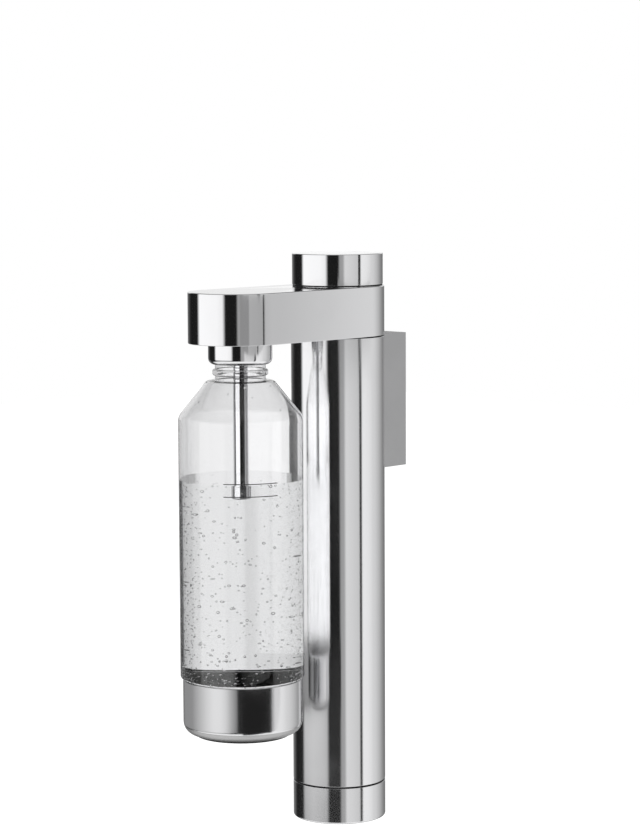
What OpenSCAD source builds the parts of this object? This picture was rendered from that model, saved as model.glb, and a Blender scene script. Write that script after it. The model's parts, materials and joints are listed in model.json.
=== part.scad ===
// Wall-hung sparkling water maker.
// The origin is the middle of the wall plate's back face: +Y points into the wall, +Z points up.
// The modules are written round the column's axis, with z = 0 at the column's foot, and moved at the end.

/* [Gas cylinder] */
// Diameter of the gas cylinder
cylinder_d = 60; // [52:1:74]
// Height of the gas cylinder from its foot to the top of its neck
cylinder_h = 324; // [240:1:400]
// Radius of the cylinder's shoulder
cylinder_shoulder_r = 20; // [12:1:24]
// Radius of the cylinder's foot edge
cylinder_foot_r = 7; // [3:1:12]
// Wall of the cylinder
cylinder_wall = 3; // [2:0.5:4]
// Diameter of the cylinder's neck
cylinder_neck_d = 29; // [24:1:32]
// Height of the cylinder's neck above its shoulder
cylinder_neck_h = 12; // [6:1:20]

/* [Cylinder valve] */
// Diameter of the valve's thread, which the socket fits
thread_d = 21; // [18:0.5:24]
// Length of the valve's thread
thread_l = 20; // [14:1:26]
// Land of the valve's hexagon round its thread
hex_land = 2; // [1:0.5:4]
// Height of the valve's hexagon
valve_hex_h = 10; // [6:1:14]
// Diameter of the valve's shank in the cylinder's neck
valve_shank_d = 18; // [14:1:20]
// Length of that shank
valve_shank_l = 16; // [10:1:24]
// Diameter of the valve pin
pin_d = 4; // [3:0.5:5]
// Length of the valve pin
pin_l = 22; // [14:1:30]
// Depth of the pin's top below the valve's top
pin_depth = 1; // [0.5:0.5:3]

/* [Column] */
// Wall of the column's tube
tube_wall = 1.5; // [1:0.1:3]
// Height of the bottom cap
cap_h = 26.5; // [18:0.5:36]
// Floor of the bottom cap
cap_floor = 3; // [2:0.5:5]
// Radius of the bottom cap's lower edge
cap_edge_r = 1.5; // [0.5:0.5:4]
// Height of the cap's spigot inside the tube
spigot_h = 16; // [10:1:24]
// Wall of the cap's spigot
spigot_wall = 1.7; // [1.4:0.1:2.5]
// Diameter of the rubber ring's section in the spigot
cap_ring_d = 1.6; // [1:0.1:2]
// Thickness of the cylinder's rubber pad
pad_t = 5; // [3:0.5:10]
// Visible gap between the bottom cap and the tube
cap_gap = 1.2; // [0.6:0.1:1.8]
// Visible gap between the tube and the arm
arm_gap = 0.8; // [0.4:0.1:1.2]
// How far the rubber rings in the visible gaps lie behind the polished faces
gap_inset = 0.4; // [0.2:0.1:0.6]

/* [Arm] */
// Height of the arm
arm_h = 36; // [32:0.5:48]
// Sheet thickness of the arm's shell
arm_sheet = 0.6; // [0.5:0.1:1.2]
// Thickness of the shell's top
arm_top_t = 1.2; // [0.8:0.1:2]
// Radius of the shell's upper edge
arm_edge_r = 0.8; // [0.4:0.1:1.1]
// Radius of the shell's lower edge
arm_low_r = 0.4; // [0.1:0.1:0.4]
// Distance of the nose's centre in front of the nozzle's axis
nose_lead = 3.5; // [0:0.5:8]
// Thickness of the arm's floor
arm_floor_t = 2; // [1.5:0.5:4]
// Height of the floor's spigot in the column's tube
floor_spigot_h = 10; // [6:1:16]
// Wall of the floor's spigot
floor_spigot_wall = 2; // [1.5:0.5:3]
// Diameter of the shell's posts
post_d = 8; // [6:1:10]

/* [Button] */
// Height of the button above the arm
button_h = 23.5; // [14:0.5:36]
// Wall of the button
button_wall = 1.5; // [1:0.1:2.5]
// Thickness of the button's top
button_top_t = 3; // [2:0.5:5]
// Radius of the button's upper edge
button_edge_r = 0.6; // [0.3:0.1:1.5]
// Height of the groove round the button's root, above the arm
button_groove = 1.1; // [0.6:0.1:1.6]
// Depth of that groove
groove_depth = 0.8; // [0.7:0.1:0.9]
// Depth of the button's skirt inside the arm
skirt_depth = 8; // [6:0.5:12]
// Travel of the button
button_travel = 4; // [2:0.5:5]
// Diameter of the button's boss
boss_d = 18; // [15:1:22]
// Height of the button's boss
boss_h = 8; // [6:1:10]
// Diameter of the button's stem
stem_d = 7; // [6:0.5:8]
// Diameter of the stem's shoulder, which stops it under the bush
shoulder_d = 11; // [10:0.5:12]
// Height of the stem's shoulder
shoulder_h = 3; // [2:0.5:4]
// Diameter of the stem's tip, which presses the valve pin
tip_d = 3.2; // [2.4:0.1:3.4]
// Wire of the button's spring
spring_wire = 1.6; // [1.2:0.1:2]
// Turns of the button's spring
spring_turns = 5.5; // [4:0.5:6]

/* [Valve block] */
// Diameter of the valve block
block_d = 38; // [34:1:44]
// Width of the block's flange round it
block_flange_w = 8; // [6.5:0.5:10]
// Thickness of that flange
block_flange_t = 3.5; // [3:0.5:6]
// How far the block hangs below the arm
block_drop = 12; // [8:1:16]
// Gap between the block and the valve's hexagon
block_gap = 1.5; // [1:0.5:3]
// Thickness of the socket's flat seal
gasket_t = 1.5; // [1:0.5:2.5]
// Bore of the socket's flat seal
gasket_bore = 8; // [6:0.5:9]
// Height of the gas chamber above the pipe's axis
chamber_rise = 2.5; // [2:0.5:4]
// Diameter of the stem seal's section
stem_seal_d = 2; // [1.5:0.1:2.5]
// Web between the stem's seal and its shoulder
seal_web = 1; // [0.6:0.2:2]
// Diameter of the bush
bush_d = 15; // [14:0.5:17]
// Length of the bush in the block
bush_l = 4; // [3:0.5:6]
// Diameter of the bush's flange
bush_flange_d = 22; // [19:1:26]
// Thickness of the bush's flange
bush_flange_t = 2; // [1.5:0.5:3]

/* [Gas pipe] */
// Diameter of the gas pipe
pipe_d = 5; // [4:0.5:6]
// Bore of the gas pipe
pipe_bore = 2.4; // [1.6:0.2:3]
// Distance across the flats of the union nuts
nut_hex = 10; // [8:1:12]
// Length of a union nut
nut_l = 9; // [6:1:12]
// Depth of the pipe's seat in each block
pipe_seat = 5; // [3:0.5:6]

/* [Nozzle] */
// Diameter of the nozzle block
nozzle_block_d = 27; // [24:1:32]
// Width of its flange round it
nozzle_flange_w = 7.5; // [6.5:0.5:10]
// Thickness of its flange
nozzle_flange_t = 3.5; // [3:0.5:6]
// Diameter of the block's neck through the floor
nozzle_neck_d = 18; // [15:0.5:20]
// Diameter of the nozzle tube
nozzle_d = 10.4; // [8:0.2:12]
// Bore of the nozzle tube
nozzle_bore = 5; // [3:0.5:6]
// Length of the nozzle tube below the arm
nozzle_l = 100; // [70:1:140]
// How far the tube goes up into the block
nozzle_root = 8; // [6:0.5:8]
// Diameter of the nozzle's tip
nozzle_tip_d = 10.6; // [10:0.2:14]
// Length of the nozzle's tip
nozzle_tip_l = 9; // [6:0.5:14]
// Gas hole in the tip
gas_hole_d = 1.6; // [1:0.2:2.4]

/* [Relief valve] */
// Diameter of the relief valve's body
relief_d = 13; // [11:0.5:15]
// Wall of that body
relief_wall = 1.5; // [1.2:0.1:2]
// Depth of the body in the nozzle block
relief_sink = 4; // [3:0.5:5]
// Height of the body above the nozzle block
relief_h = 8; // [7:0.5:9]
// Gap between the relief valve and the top of the arm's shell, which sets the nozzle block's height
relief_gap = 4.8; // [2:0.2:8]
// Diameter of its orifice and the gas passage below it
orifice_d = 3; // [2:0.5:4]
// Thickness of the poppet's disc
poppet_t = 2; // [1.5:0.5:2.5]
// Diameter of the poppet's stem
poppet_stem_d = 2.4; // [2:0.2:3]
// Wire of the relief spring
relief_wire = 0.7; // [0.5:0.1:0.9]
// Turns of the relief spring
relief_turns = 3; // [2:0.5:3.5]
// Thickness of the relief valve's cap
relief_cap_t = 2; // [1.5:0.5:3]

/* [Collar] */
// Width of the collar round the bottle's neck
collar_w = 4.7; // [3.6:0.1:9]
// Height of the collar
collar_h = 15; // [12:0.5:24]
// Wall of the collar
collar_wall = 1.4; // [1:0.1:2]
// Radius of the collar's lower edge
collar_edge_r = 4.5; // [3:0.1:4.5]
// Roof of the neck socket
socket_roof = 2.5; // [2:0.5:4]
// Thickness of the neck's seal
neck_seal_t = 1.5; // [1:0.5:3]

/* [Bottle] */
// Diameter of the bottle
bottle_d = 88; // [76:1:106]
// Wall of the bottle
bottle_wall = 2; // [1.5:0.1:3]
// Height of the bottle from the cup's foot to the top of its neck
bottle_h = 274; // [220:1:330]
// Diameter of the bottle's neck
neck_d = 35.6; // [30:0.2:36]
// Height of the neck between the collar and the shoulder's ring
neck_free = 10.8; // [8:0.2:18]
// How far the bead stands out from the neck
bead_out = 1.7; // [0.7:0.1:3.2]
// Height of the bead
bead_h = 4.5; // [3:0.5:6]
// Height of the bead above the shoulder's ring
bead_z = 3; // [1:0.5:5]
// Width of the shoulder's ring round the neck
ring_w = 6.2; // [4:0.1:9]
// Height of the ring's sloped top
ring_h = 1; // [0.5:0.5:3]
// Height of the bottle's shoulder cone
shoulder_cone_h = 25; // [16:0.5:36]
// Radius of the bottle's foot, inside the cup
bottle_foot_r = 18; // [12:1:22]
// Gap between the bottle and the column
bottle_gap = 22.5; // [16:0.5:40]

/* [Base cup] */
// How far the base cup lies inside the bottle's side
cup_inset = 1.7; // [0.5:0.1:4]
// Height of the base cup
cup_h = 39; // [28:0.5:54]
// Wall of the base cup
cup_wall = 0.8; // [0.6:0.1:1.2]
// Radius of the cup's lower edge
cup_edge_r = 8.5; // [5:0.5:12]
// Height of the rubber ring under the cup
foot_ring_t = 1.2; // [0.8:0.1:2]
// Width of the rubber ring under the cup
foot_ring_w = 5; // [3:0.5:8]
// Height of the bottle's draw-in above the cup's rim
draw_in_h = 1.5; // [1:0.5:8]

/* [Wall bracket] */
// Width of the bracket
bracket_w = 44; // [36:1:56]
// Height of the bracket
bracket_h = 98; // [80:1:130]
// Gap between the column and the wall
wall_gap = 16.5; // [15:0.5:30]
// Side wall of the bracket
bracket_wall = 3; // [2:0.5:4]
// Top and bottom wall of the bracket
bracket_cap = 5; // [4:0.5:7]
// Radius of the bracket's upright edges
bracket_edge_r = 1.5; // [0.5:0.5:3]
// Depth of the bracket's pocket
pocket_depth = 11; // [9:0.5:12]
// Thickness of the wall plate
plate_t = 3; // [2:0.5:4]
// Depth of the plate's two tabs
tab_depth = 7; // [6:0.5:7.5]
// Height of the lip on the upper tab
lip_h = 2; // [1:0.5:2.5]
// Spacing of the wall screws
wall_hole_pitch = 60; // [40:1:66]
// Diameter of the wall screw holes
wall_hole_d = 5.2; // [4.2:0.1:6.2]

/* [Fasteners] */
// Diameter of the bracket and lock screws
screw_d = 5; // [4:0.5:6]
// Head diameter of those screws
screw_head_d = 9; // [8:0.5:10]
// Head height of the bracket screws, which lie inside the tube
screw_head_h = 1.6; // [1.2:0.1:1.8]
// Distance of the bracket screws from the bracket's ends
screw_inset = 22; // [14:1:30]
// Diameter of the small screws in the arm
small_screw_d = 3; // [2.5:0.5:4]
// Head diameter of the small screws
small_head_d = 5.5; // [5:0.5:7]
// Head height of the small screws
small_head_h = 2; // [1.5:0.5:3]

/* [Clearances] */
// Gap between parts that move past each other
move_clear = 0.3; // [0.2:0.05:0.6]
// Running clearance of a stem in its bore
run_clear = 0.05; // [0.02:0.01:0.1]
// Gap between parts that are fitted once
seat_clear = 0.1; // [0.05:0.05:0.2]
// Gap between the gas cylinder and the cap's spigot
cylinder_clear = 0.5; // [0.3:0.1:1]
// Rim of the shell's top round the button
hole_rim = 0.15; // [0.1:0.05:0.5]

/* [Hidden] */
$fn = 96;

// Overrun of cutting tools, so that no cut ends on a face
over = 1;
// Sides of the spring wire, and rings in one turn of it
wire_sides = 6;
wire_rings = 16;
hex_sides = 6;

// Column, from the gas cylinder outwards
spigot_r_in = cylinder_d / 2 + cylinder_clear;
spigot_r = spigot_r_in + spigot_wall;
tube_r_in = spigot_r + move_clear;
column_r = tube_r_in + tube_wall;
cap_ring_r = tube_r_in - seat_clear - cap_ring_d / 2;

// Heights above the column's foot
cylinder_z = cap_floor + pad_t;
neck_z = cylinder_z + cylinder_h;
hex_top = neck_z + valve_hex_h;
valve_top = hex_top + thread_l;
block_z = hex_top + block_gap;
tube_z = cap_h + cap_gap;
arm_z = block_z + block_drop;
arm_top = arm_z + arm_h;
floor_top = arm_z + arm_floor_t;
gasket_top = valve_top + gasket_t;
pipe_z = max(floor_top + max(block_flange_t, nozzle_flange_t) + nut_hex / 2, gasket_top + pipe_d / 2)
    + move_clear;
seal_z = pipe_z + chamber_rise;
shoulder_z = seal_z + stem_seal_d + seal_web;
chamber_top = shoulder_z + button_travel + shoulder_h + 2 * move_clear;
block_top = chamber_top + bush_l;
spring_z = block_top + bush_flange_t;
button_top = arm_top + button_h;
boss_z = button_top - button_top_t - boss_h;
pin_top = valve_top - pin_depth;

// Nozzle and bottle
bottle_r = bottle_d / 2;
reach = column_r + bottle_gap + bottle_r;
nose_reach = reach + nose_lead;
collar_r = neck_d / 2 + collar_w;
collar_z = arm_z - collar_h;
socket_z = collar_z + collar_wall;
seal_face = arm_z - socket_roof - neck_seal_t;
neck_top = seal_face - move_clear;
bottle_z = neck_top - bottle_h;
ring_z = collar_z - neck_free;
cone_z = ring_z - ring_h - shoulder_cone_h;
cup_r = bottle_r - cup_inset;
cup_z = bottle_z + foot_ring_t;
cup_top = cup_z + cup_h;
nozzle_z = arm_z - nozzle_l;
nozzle_block_top = max(arm_top - arm_top_t - relief_gap - relief_h,
    pipe_z + pipe_bore / 2 + relief_wall + relief_sink);
relief_z = nozzle_block_top - relief_sink;
relief_top = nozzle_block_top + relief_h;
poppet_z = relief_z + relief_wall + move_clear;
relief_cap_z = relief_top - relief_cap_t;

pipe_back = -block_d / 2 + pipe_seat;
pipe_front = -reach + nozzle_block_d / 2 - pipe_seat;

// Arm and button
shell_r_in = column_r - arm_sheet;
floor_r = shell_r_in - seat_clear;
button_hole_r = shell_r_in - hole_rim;
button_r = button_hole_r - move_clear;
post_y = -reach / 2;
post_x = column_r - arm_sheet - post_d;
block_screw_r = (block_d + block_flange_w) / 2;
nozzle_screw_r = (nozzle_block_d + nozzle_flange_w) / 2;

// Wall and bracket, behind the column
wall_y = column_r + wall_gap;
bracket_z = arm_z - bracket_h;
bracket_mid = bracket_z + bracket_h / 2;
pocket_y = wall_y - pocket_depth;
plate_w = bracket_w - 2 * bracket_wall - 2 * seat_clear;
plate_h = bracket_h - 2 * bracket_cap - 2 * seat_clear - lip_h;
plate_top = arm_z - bracket_cap - seat_clear;
plate_z = plate_top - plate_h;
tab_y = wall_y - plate_t - tab_depth;
lock_y = wall_y - plate_t - tab_depth / 2;
bracket_screw_z = [bracket_z + screw_inset, arm_z - screw_inset];
screw_seat_y = sqrt(pow(tube_r_in, 2) - pow(screw_head_d / 2, 2)) - seat_clear;

// Moves a piece from the column's axis to the wall plate's frame
module placed() {
    translate([0, -wall_y, -bracket_mid]) children();
}

// Moves a piece to the nozzle's axis
module at_nozzle() {
    translate([0, -reach, 0]) children();
}

// Half section of a round piece, with its outer corners rounded by low and high
module section(r_in, r_out, z_low, z_high, low = 0, high = 0) {
    difference() {
        translate([r_in, z_low]) square([r_out - r_in, z_high - z_low]);
        if (low > 0) corner(r_out - low, z_low + low, low, -1);
        if (high > 0) corner(r_out - high, z_high - high, high, 1);
    }
}

// Cutting tool that rounds the corner outside the point x, z: side is 1 for up and -1 for down
module corner(x, z, r, side) {
    difference() {
        translate([x, side > 0 ? z : z - r - over]) square([r + over, r + over]);
        translate([x, z]) circle(r);
    }
}

// Plain bore or rod on an upright axis
module bore(d, z_low, z_high) {
    translate([0, 0, z_low]) cylinder(d = d, h = z_high - z_low);
}

// Bore or rod along +Y
module bore_y(d, y_low, y_high) {
    translate([0, y_low, 0]) rotate([-90, 0, 0]) cylinder(d = d, h = y_high - y_low);
}

// Ring of round section on an upright axis
module ring(r, d, z) {
    rotate_extrude() translate([r, z]) circle(d = d);
}

// Upright hexagonal bar
module hexagon(flats, z_low, z_high) {
    translate([0, 0, z_low]) cylinder(d = flats / cos(30), h = z_high - z_low, $fn = hex_sides);
}

// Places of the screws round a block: count of them on a circle of radius r
module around(r, count, start = 0) {
    for (i = [0 : count - 1]) rotate(start + 360 / count * i) translate([r, 0, 0]) children();
}

// Pan-headed screw that stands on z = 0 and points down
module pan_screw(d, head_d, head_h, length) {
    rotate_extrude() section(0, head_d / 2, 0, head_h, 0, head_h / 2);
    translate([0, 0, -length]) cylinder(d = d, h = length);
}

// One ring of points of a coil's wire, at the angle a and the height z
function wire_ring(r, d, a, z) = [
    for (i = [0 : wire_sides - 1])
        let (t = 360 / wire_sides * i, s = r + d / 2 * cos(t))
            [s * cos(a), s * sin(a), z + d / 2 * sin(t)]
];

// Coil spring of round wire between two heights, one unbroken tube
module coil(r, d, z_low, z_high, turns) {
    steps = ceil(turns * wire_rings);
    rise = z_high - z_low - d;
    points = [
        for (k = [0 : steps])
            each wire_ring(r, d, 360 * turns * k / steps, z_low + d / 2 + rise * k / steps)
    ];
    side_faces = [
        for (k = [0 : steps - 1], i = [0 : wire_sides - 1])
            let (j = (i + 1) % wire_sides, a = k * wire_sides, b = a + wire_sides)
                each [[a + i, b + i, a + j], [a + j, b + i, b + j]]
    ];
    first_end = [for (i = [1 : wire_sides - 2]) [0, i, i + 1]];
    last = steps * wire_sides;
    last_end = [for (i = [1 : wire_sides - 2]) [last, last + i + 1, last + i]];
    polyhedron(points, concat(side_faces, first_end, last_end));
}

// Long round plan of the arm, between the column's axis and the nose, inset from the column's radius
module arm_plan(inset = 0) {
    r = column_r - inset;
    circle(r);
    translate([-r, -nose_reach]) square([2 * r, nose_reach]);
    translate([0, -nose_reach]) circle(r);
}

// Wall plate with two screw holes, a lower tab for the lock screw and an upper tab with a lip
module wall_plate() color("darkgray") placed() difference() {
    union() {
        translate([-plate_w / 2, wall_y - plate_t, plate_z]) cube([plate_w, plate_t, plate_h]);
        translate([-plate_w / 2, tab_y, plate_z]) cube([plate_w, tab_depth + over, plate_t]);
        translate([-plate_w / 2, tab_y, plate_top - plate_t]) cube([plate_w, tab_depth + over, plate_t]);
        translate([-plate_w / 2, tab_y, plate_top - plate_t]) cube([plate_w, plate_t, plate_t + lip_h]);
    }
    for (side = [-1, 1]) translate([0, 0, bracket_mid + side * wall_hole_pitch / 2])
        bore_y(wall_hole_d, wall_y - plate_t - over, wall_y + over);
    translate([0, lock_y, 0]) bore(screw_d + 2 * seat_clear, plate_z - over, plate_z + plate_t + over);
}

// Bracket that carries the column: hollow at the back, hollowed to the column's round in front
module wall_bracket() color("silver") placed() difference() {
    translate([0, 0, bracket_z]) linear_extrude(bracket_h) difference() {
        translate([-bracket_w / 2, 0]) square([bracket_w, wall_y]);
        circle(column_r + seat_clear);
        for (side = [0, 1]) mirror([side, 0])
            corner(bracket_w / 2 - bracket_edge_r, wall_y - bracket_edge_r, bracket_edge_r, 1);
    }
    translate([-bracket_w / 2 + bracket_wall, pocket_y, bracket_z + bracket_cap])
        cube([bracket_w - 2 * bracket_wall, pocket_depth + over, bracket_h - 2 * bracket_cap]);
    translate([-bracket_w / 2 + bracket_wall, tab_y - seat_clear, arm_z - bracket_cap - over])
        cube([bracket_w - 2 * bracket_wall, plate_t + 2 * seat_clear, lip_h + over]);
    for (z = bracket_screw_z) translate([0, 0, z])
        bore_y(screw_d + 2 * seat_clear, column_r - over, pocket_y + over);
    translate([0, lock_y, 0]) {
        bore(screw_d + 2 * seat_clear, bracket_z - over, bracket_z + bracket_cap + over);
        bore(screw_head_d + 2 * move_clear, bracket_z - over, bracket_z + bracket_cap / 2);
    }
}

// Screw from below that holds the bracket on the wall plate
module lock_screw() color("dimgray") placed() translate([0, lock_y, bracket_z + bracket_cap / 2])
    mirror([0, 0, 1]) difference() {
        pan_screw(screw_d, screw_head_d, bracket_cap / 2,
            plate_z + plate_t - bracket_z - bracket_cap / 2);
        hexagon(screw_d / 2, bracket_cap / 4, bracket_cap);
    }

// Two flat-headed screws from inside the tube into the bracket
module bracket_screws() color("dimgray") placed() for (z = bracket_screw_z)
    translate([0, screw_seat_y, z]) rotate([90, 0, 0]) difference() {
        pan_screw(screw_d, screw_head_d, screw_head_h, pocket_y - screw_seat_y - seat_clear);
        hexagon(screw_d / 2, screw_head_h / 2, screw_head_h + over);
    }

// Polished tube, drilled at the back for the bracket's screws
module column_tube() color("gainsboro") placed() difference() {
    rotate_extrude() section(tube_r_in, column_r, tube_z, arm_z - arm_gap);
    for (z = bracket_screw_z) translate([0, 0, z])
        bore_y(screw_d + 2 * seat_clear, tube_r_in - over, column_r + over);
}

// Half section of the arm's shell: side wall and top
module shell_section() difference() {
    section(0, column_r, arm_z, arm_top, arm_low_r, arm_edge_r);
    translate([-over, arm_z - over]) square([shell_r_in + over, arm_h - arm_top_t + over]);
}

// Polished sheet housing with the button's hole and two welded posts
module arm_shell() color("gainsboro") placed() {
    difference() {
        union() {
            rotate_extrude(angle = 180, start = 0) shell_section();
            translate([0, -nose_reach, 0]) rotate_extrude(angle = 180, start = 180) shell_section();
            rotate([90, 0, 0]) linear_extrude(nose_reach) {
                shell_section();
                mirror([1, 0]) shell_section();
            }
        }
        bore(2 * button_hole_r, arm_top - arm_top_t - over, arm_top + over);
    }
    for (side = [-1, 1]) translate([side * post_x, post_y, 0]) difference() {
        bore(post_d, floor_top, arm_top - arm_top_t);
        bore(small_screw_d, floor_top - over, floor_top + arm_h / 2);
    }
}

// Floor of the arm, with a spigot that holds the column's tube
module arm_floor() color("darkgray") placed() difference() {
    union() {
        translate([0, 0, arm_z]) linear_extrude(arm_floor_t) arm_plan(column_r - floor_r);
        rotate_extrude()
            section(tube_r_in - seat_clear - floor_spigot_wall, tube_r_in - seat_clear,
                arm_z - floor_spigot_h, arm_z + arm_floor_t / 2);
    }
    bore(block_d + 2 * seat_clear, arm_z - over, floor_top + over);
    at_nozzle() bore(nozzle_neck_d + 2 * seat_clear, arm_z - over, floor_top + over);
    around(block_screw_r, 3, 90) bore(small_screw_d, arm_z - over, floor_top + over);
    at_nozzle() around(nozzle_screw_r, 3, -90) bore(small_screw_d, arm_z - over, floor_top + over);
    for (side = [-1, 1]) translate([side * post_x, post_y, 0]) {
        bore(small_screw_d + 2 * seat_clear, arm_z - over, floor_top + over);
        bore(small_head_d + 2 * seat_clear, arm_z - over, arm_z + arm_floor_t / 2);
    }
}

// Rubber ring in the visible gap between the tube and the arm
module arm_gasket() color("black") placed() rotate_extrude()
    section(tube_r_in, column_r - gap_inset, arm_z - arm_gap, arm_z);

// Two screws from below that hold the shell on the floor
module shell_screws() color("dimgray") placed() for (side = [-1, 1])
    translate([side * post_x, post_y, arm_z + arm_floor_t / 2]) mirror([0, 0, 1]) difference() {
        pan_screw(small_screw_d - 2 * seat_clear, small_head_d, arm_floor_t / 2, arm_h / 4);
        hexagon(small_screw_d / 2, arm_floor_t / 4, arm_floor_t);
    }

// Three screws in each block's flange, down into the floor
module floor_screws() color("dimgray") placed() {
    around(block_screw_r, 3, 90) flange_screw(block_flange_t);
    at_nozzle() around(nozzle_screw_r, 3, -90) flange_screw(nozzle_flange_t);
}

// One such screw on a flange of thickness t
module flange_screw(t) translate([0, 0, floor_top + t]) difference() {
    pan_screw(small_screw_d - 2 * seat_clear, small_head_d, small_head_h, t + arm_floor_t);
    hexagon(small_screw_d / 2, small_head_h / 2, small_head_h + over);
}

// Brass block: socket for the gas cylinder below, stem bore above, pipe port in front
module valve_block() color("goldenrod") placed() difference() {
    rotate_extrude() {
        section(0, block_d / 2, block_z, block_top, 1, 1);
        section(0, block_d / 2 + block_flange_w, floor_top, floor_top + block_flange_t, 0, 1);
    }
    bore(thread_d + 2 * move_clear, block_z - over, gasket_top);
    bore(gasket_bore + 2, gasket_top - over, seal_z);
    bore(stem_d + 2 * stem_seal_d, seal_z, seal_z + stem_seal_d);
    bore(stem_d + 2 * run_clear, seal_z - over, shoulder_z + over);
    bore(shoulder_d + 2 * move_clear, shoulder_z, chamber_top);
    bore(bush_d + 2 * seat_clear, chamber_top, block_top + over);
    translate([0, 0, pipe_z]) bore_y(pipe_bore, -block_d, 0);
    translate([0, 0, pipe_z]) bore_y(pipe_d + 2 * seat_clear, -block_d, pipe_back);
    around(block_screw_r, 3, 90)
        bore(small_screw_d, floor_top - over, floor_top + block_flange_t + over);
}

// Flat seal that the cylinder's valve presses on
module cylinder_gasket() color("black") placed() rotate_extrude()
    section(gasket_bore / 2, thread_d / 2, valve_top, gasket_top);

// Guide bush screwed into the block's top
module stem_bush() color("gold") placed() difference() {
    rotate_extrude() {
        section(0, bush_d / 2, chamber_top, block_top + bush_flange_t);
        section(0, bush_flange_d / 2, block_top, block_top + bush_flange_t, 0, bush_flange_t / 4);
    }
    bore(stem_d + 2 * run_clear, chamber_top - over, spring_z + over);
}

// Ring seal round the stem
module stem_seal() color("black") placed() {
    d = stem_seal_d - move_clear - seat_clear;
    ring(stem_d / 2 + move_clear + d / 2, d, seal_z + stem_seal_d / 2);
}

// Return spring of the button, round the stem
module button_spring() color("lightgray") placed()
    coil((stem_d + boss_d) / 4, spring_wire, spring_z, boss_z, spring_turns);

// Pipe from the valve block to the nozzle block
module gas_pipe() color("peru") placed() translate([0, 0, pipe_z]) difference() {
    bore_y(pipe_d, pipe_front + seat_clear, pipe_back - seat_clear);
    bore_y(pipe_bore, -reach, 0);
}

// Union nuts of that pipe, one on each block
module pipe_nuts() color("goldenrod") placed() translate([0, 0, pipe_z])
    for (y = [-block_d / 2 - seat_clear, -reach + nozzle_block_d / 2 + seat_clear + nut_l])
        translate([0, y, 0]) rotate([90, 0, 0]) difference() {
            hexagon(nut_hex, 0, nut_l);
            bore(pipe_d + 2 * seat_clear, -over, nut_l + over);
        }

// Block that feeds the nozzle, with the relief valve's seat on top
module nozzle_block() color("goldenrod") placed() difference() {
    at_nozzle() difference() {
        rotate_extrude() {
            section(0, nozzle_block_d / 2, floor_top, nozzle_block_top, 0, 1);
            section(0, nozzle_block_d / 2 + nozzle_flange_w, floor_top, floor_top + nozzle_flange_t, 0, 1);
            section(0, nozzle_neck_d / 2, arm_z - socket_roof, floor_top + over);
        }
        bore(nozzle_d + 2 * seat_clear, arm_z - socket_roof - over, arm_z + nozzle_root);
        bore(orifice_d, arm_z, nozzle_block_top);
        bore(relief_d + 2 * seat_clear, relief_z, nozzle_block_top + over);
        around(nozzle_screw_r, 3, -90)
            bore(small_screw_d, floor_top - over, floor_top + nozzle_flange_t + over);
    }
    translate([0, 0, pipe_z]) bore_y(pipe_bore, -reach, 0);
    translate([0, 0, pipe_z]) bore_y(pipe_d + 2 * seat_clear, pipe_front, 0);
}

// Body of the relief valve, screwed into the nozzle block
module relief_body() color("gold") placed() at_nozzle() rotate_extrude() {
    section(orifice_d / 2, relief_d / 2, relief_z, relief_z + relief_wall);
    section(relief_d / 2 - relief_wall, relief_d / 2, relief_z, relief_top);
}

// Spring that holds the relief valve shut
module relief_spring() color("lightgray") placed() at_nozzle()
    coil(relief_d / 4 + relief_wire / 2, relief_wire, poppet_z + poppet_t, relief_cap_z, relief_turns);

// Cap of the relief valve, with the vent that guides the poppet
module relief_cap() color("gold") placed() at_nozzle() rotate_extrude()
    section(poppet_stem_d / 2 + move_clear, relief_d / 2 - relief_wall - seat_clear,
        relief_cap_z, relief_top);

// Poppet of the relief valve: disc and stem
module relief_poppet() color("dimgray") placed() at_nozzle() rotate_extrude() {
    section(0, relief_d / 2 - relief_wall - move_clear, poppet_z, poppet_z + poppet_t);
    section(0, poppet_stem_d / 2, poppet_z, relief_cap_z + relief_cap_t / 2);
}

// Polished ring under the nose, with its lower edge turned in to the bottle's neck
module collar() color("gainsboro") placed() at_nozzle() rotate_extrude() difference() {
    section(neck_d / 2 + move_clear, collar_r, collar_z, arm_z, collar_edge_r);
    section(0, collar_r - collar_wall, socket_z, arm_z + over, collar_edge_r - collar_wall);
}

// Socket for the bottle's neck, inside the collar
module neck_socket() color("dimgray") placed() at_nozzle() rotate_extrude() {
    r = collar_r - collar_wall - seat_clear;
    section(neck_d / 2 + move_clear, r, socket_z + seat_clear, arm_z, collar_edge_r - collar_wall);
    section(nozzle_neck_d / 2 + seat_clear, r, arm_z - socket_roof, arm_z);
}

// Seal that the bottle's mouth presses on
module neck_seal() color("black") placed() at_nozzle() rotate_extrude()
    section(nozzle_d / 2 + seat_clear, neck_d / 2 + move_clear / 2, seal_face, arm_z - socket_roof);

// Polished tube down into the bottle
module nozzle_tube() color("gainsboro") placed() at_nozzle() rotate_extrude()
    section(nozzle_bore / 2, nozzle_d / 2, nozzle_z, arm_z + nozzle_root - seat_clear);

// Tip of the nozzle, with its gas hole
module nozzle_tip() color("silver") placed() at_nozzle() rotate_extrude() difference() {
    section(gas_hole_d / 2, nozzle_tip_d / 2, nozzle_z - nozzle_tip_l, nozzle_z, 1.2, 0.3);
    translate([0, nozzle_z - nozzle_tip_l / 2]) square([nozzle_bore / 2, nozzle_tip_l]);
}

// Polished button on top of the column, a cap with a skirt inside the arm
module top_button() color("gainsboro") placed() rotate_extrude() {
    difference() {
        section(button_r - button_wall, button_r, arm_top - skirt_depth, button_top, 0, button_edge_r);
        section(button_r - groove_depth, button_r + over, arm_top, arm_top + button_groove);
    }
    section(0, button_r - button_edge_r, button_top - button_top_t, button_top);
    section(stem_d / 2 + seat_clear, boss_d / 2, boss_z, button_top - button_top_t + over / 2);
}

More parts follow.
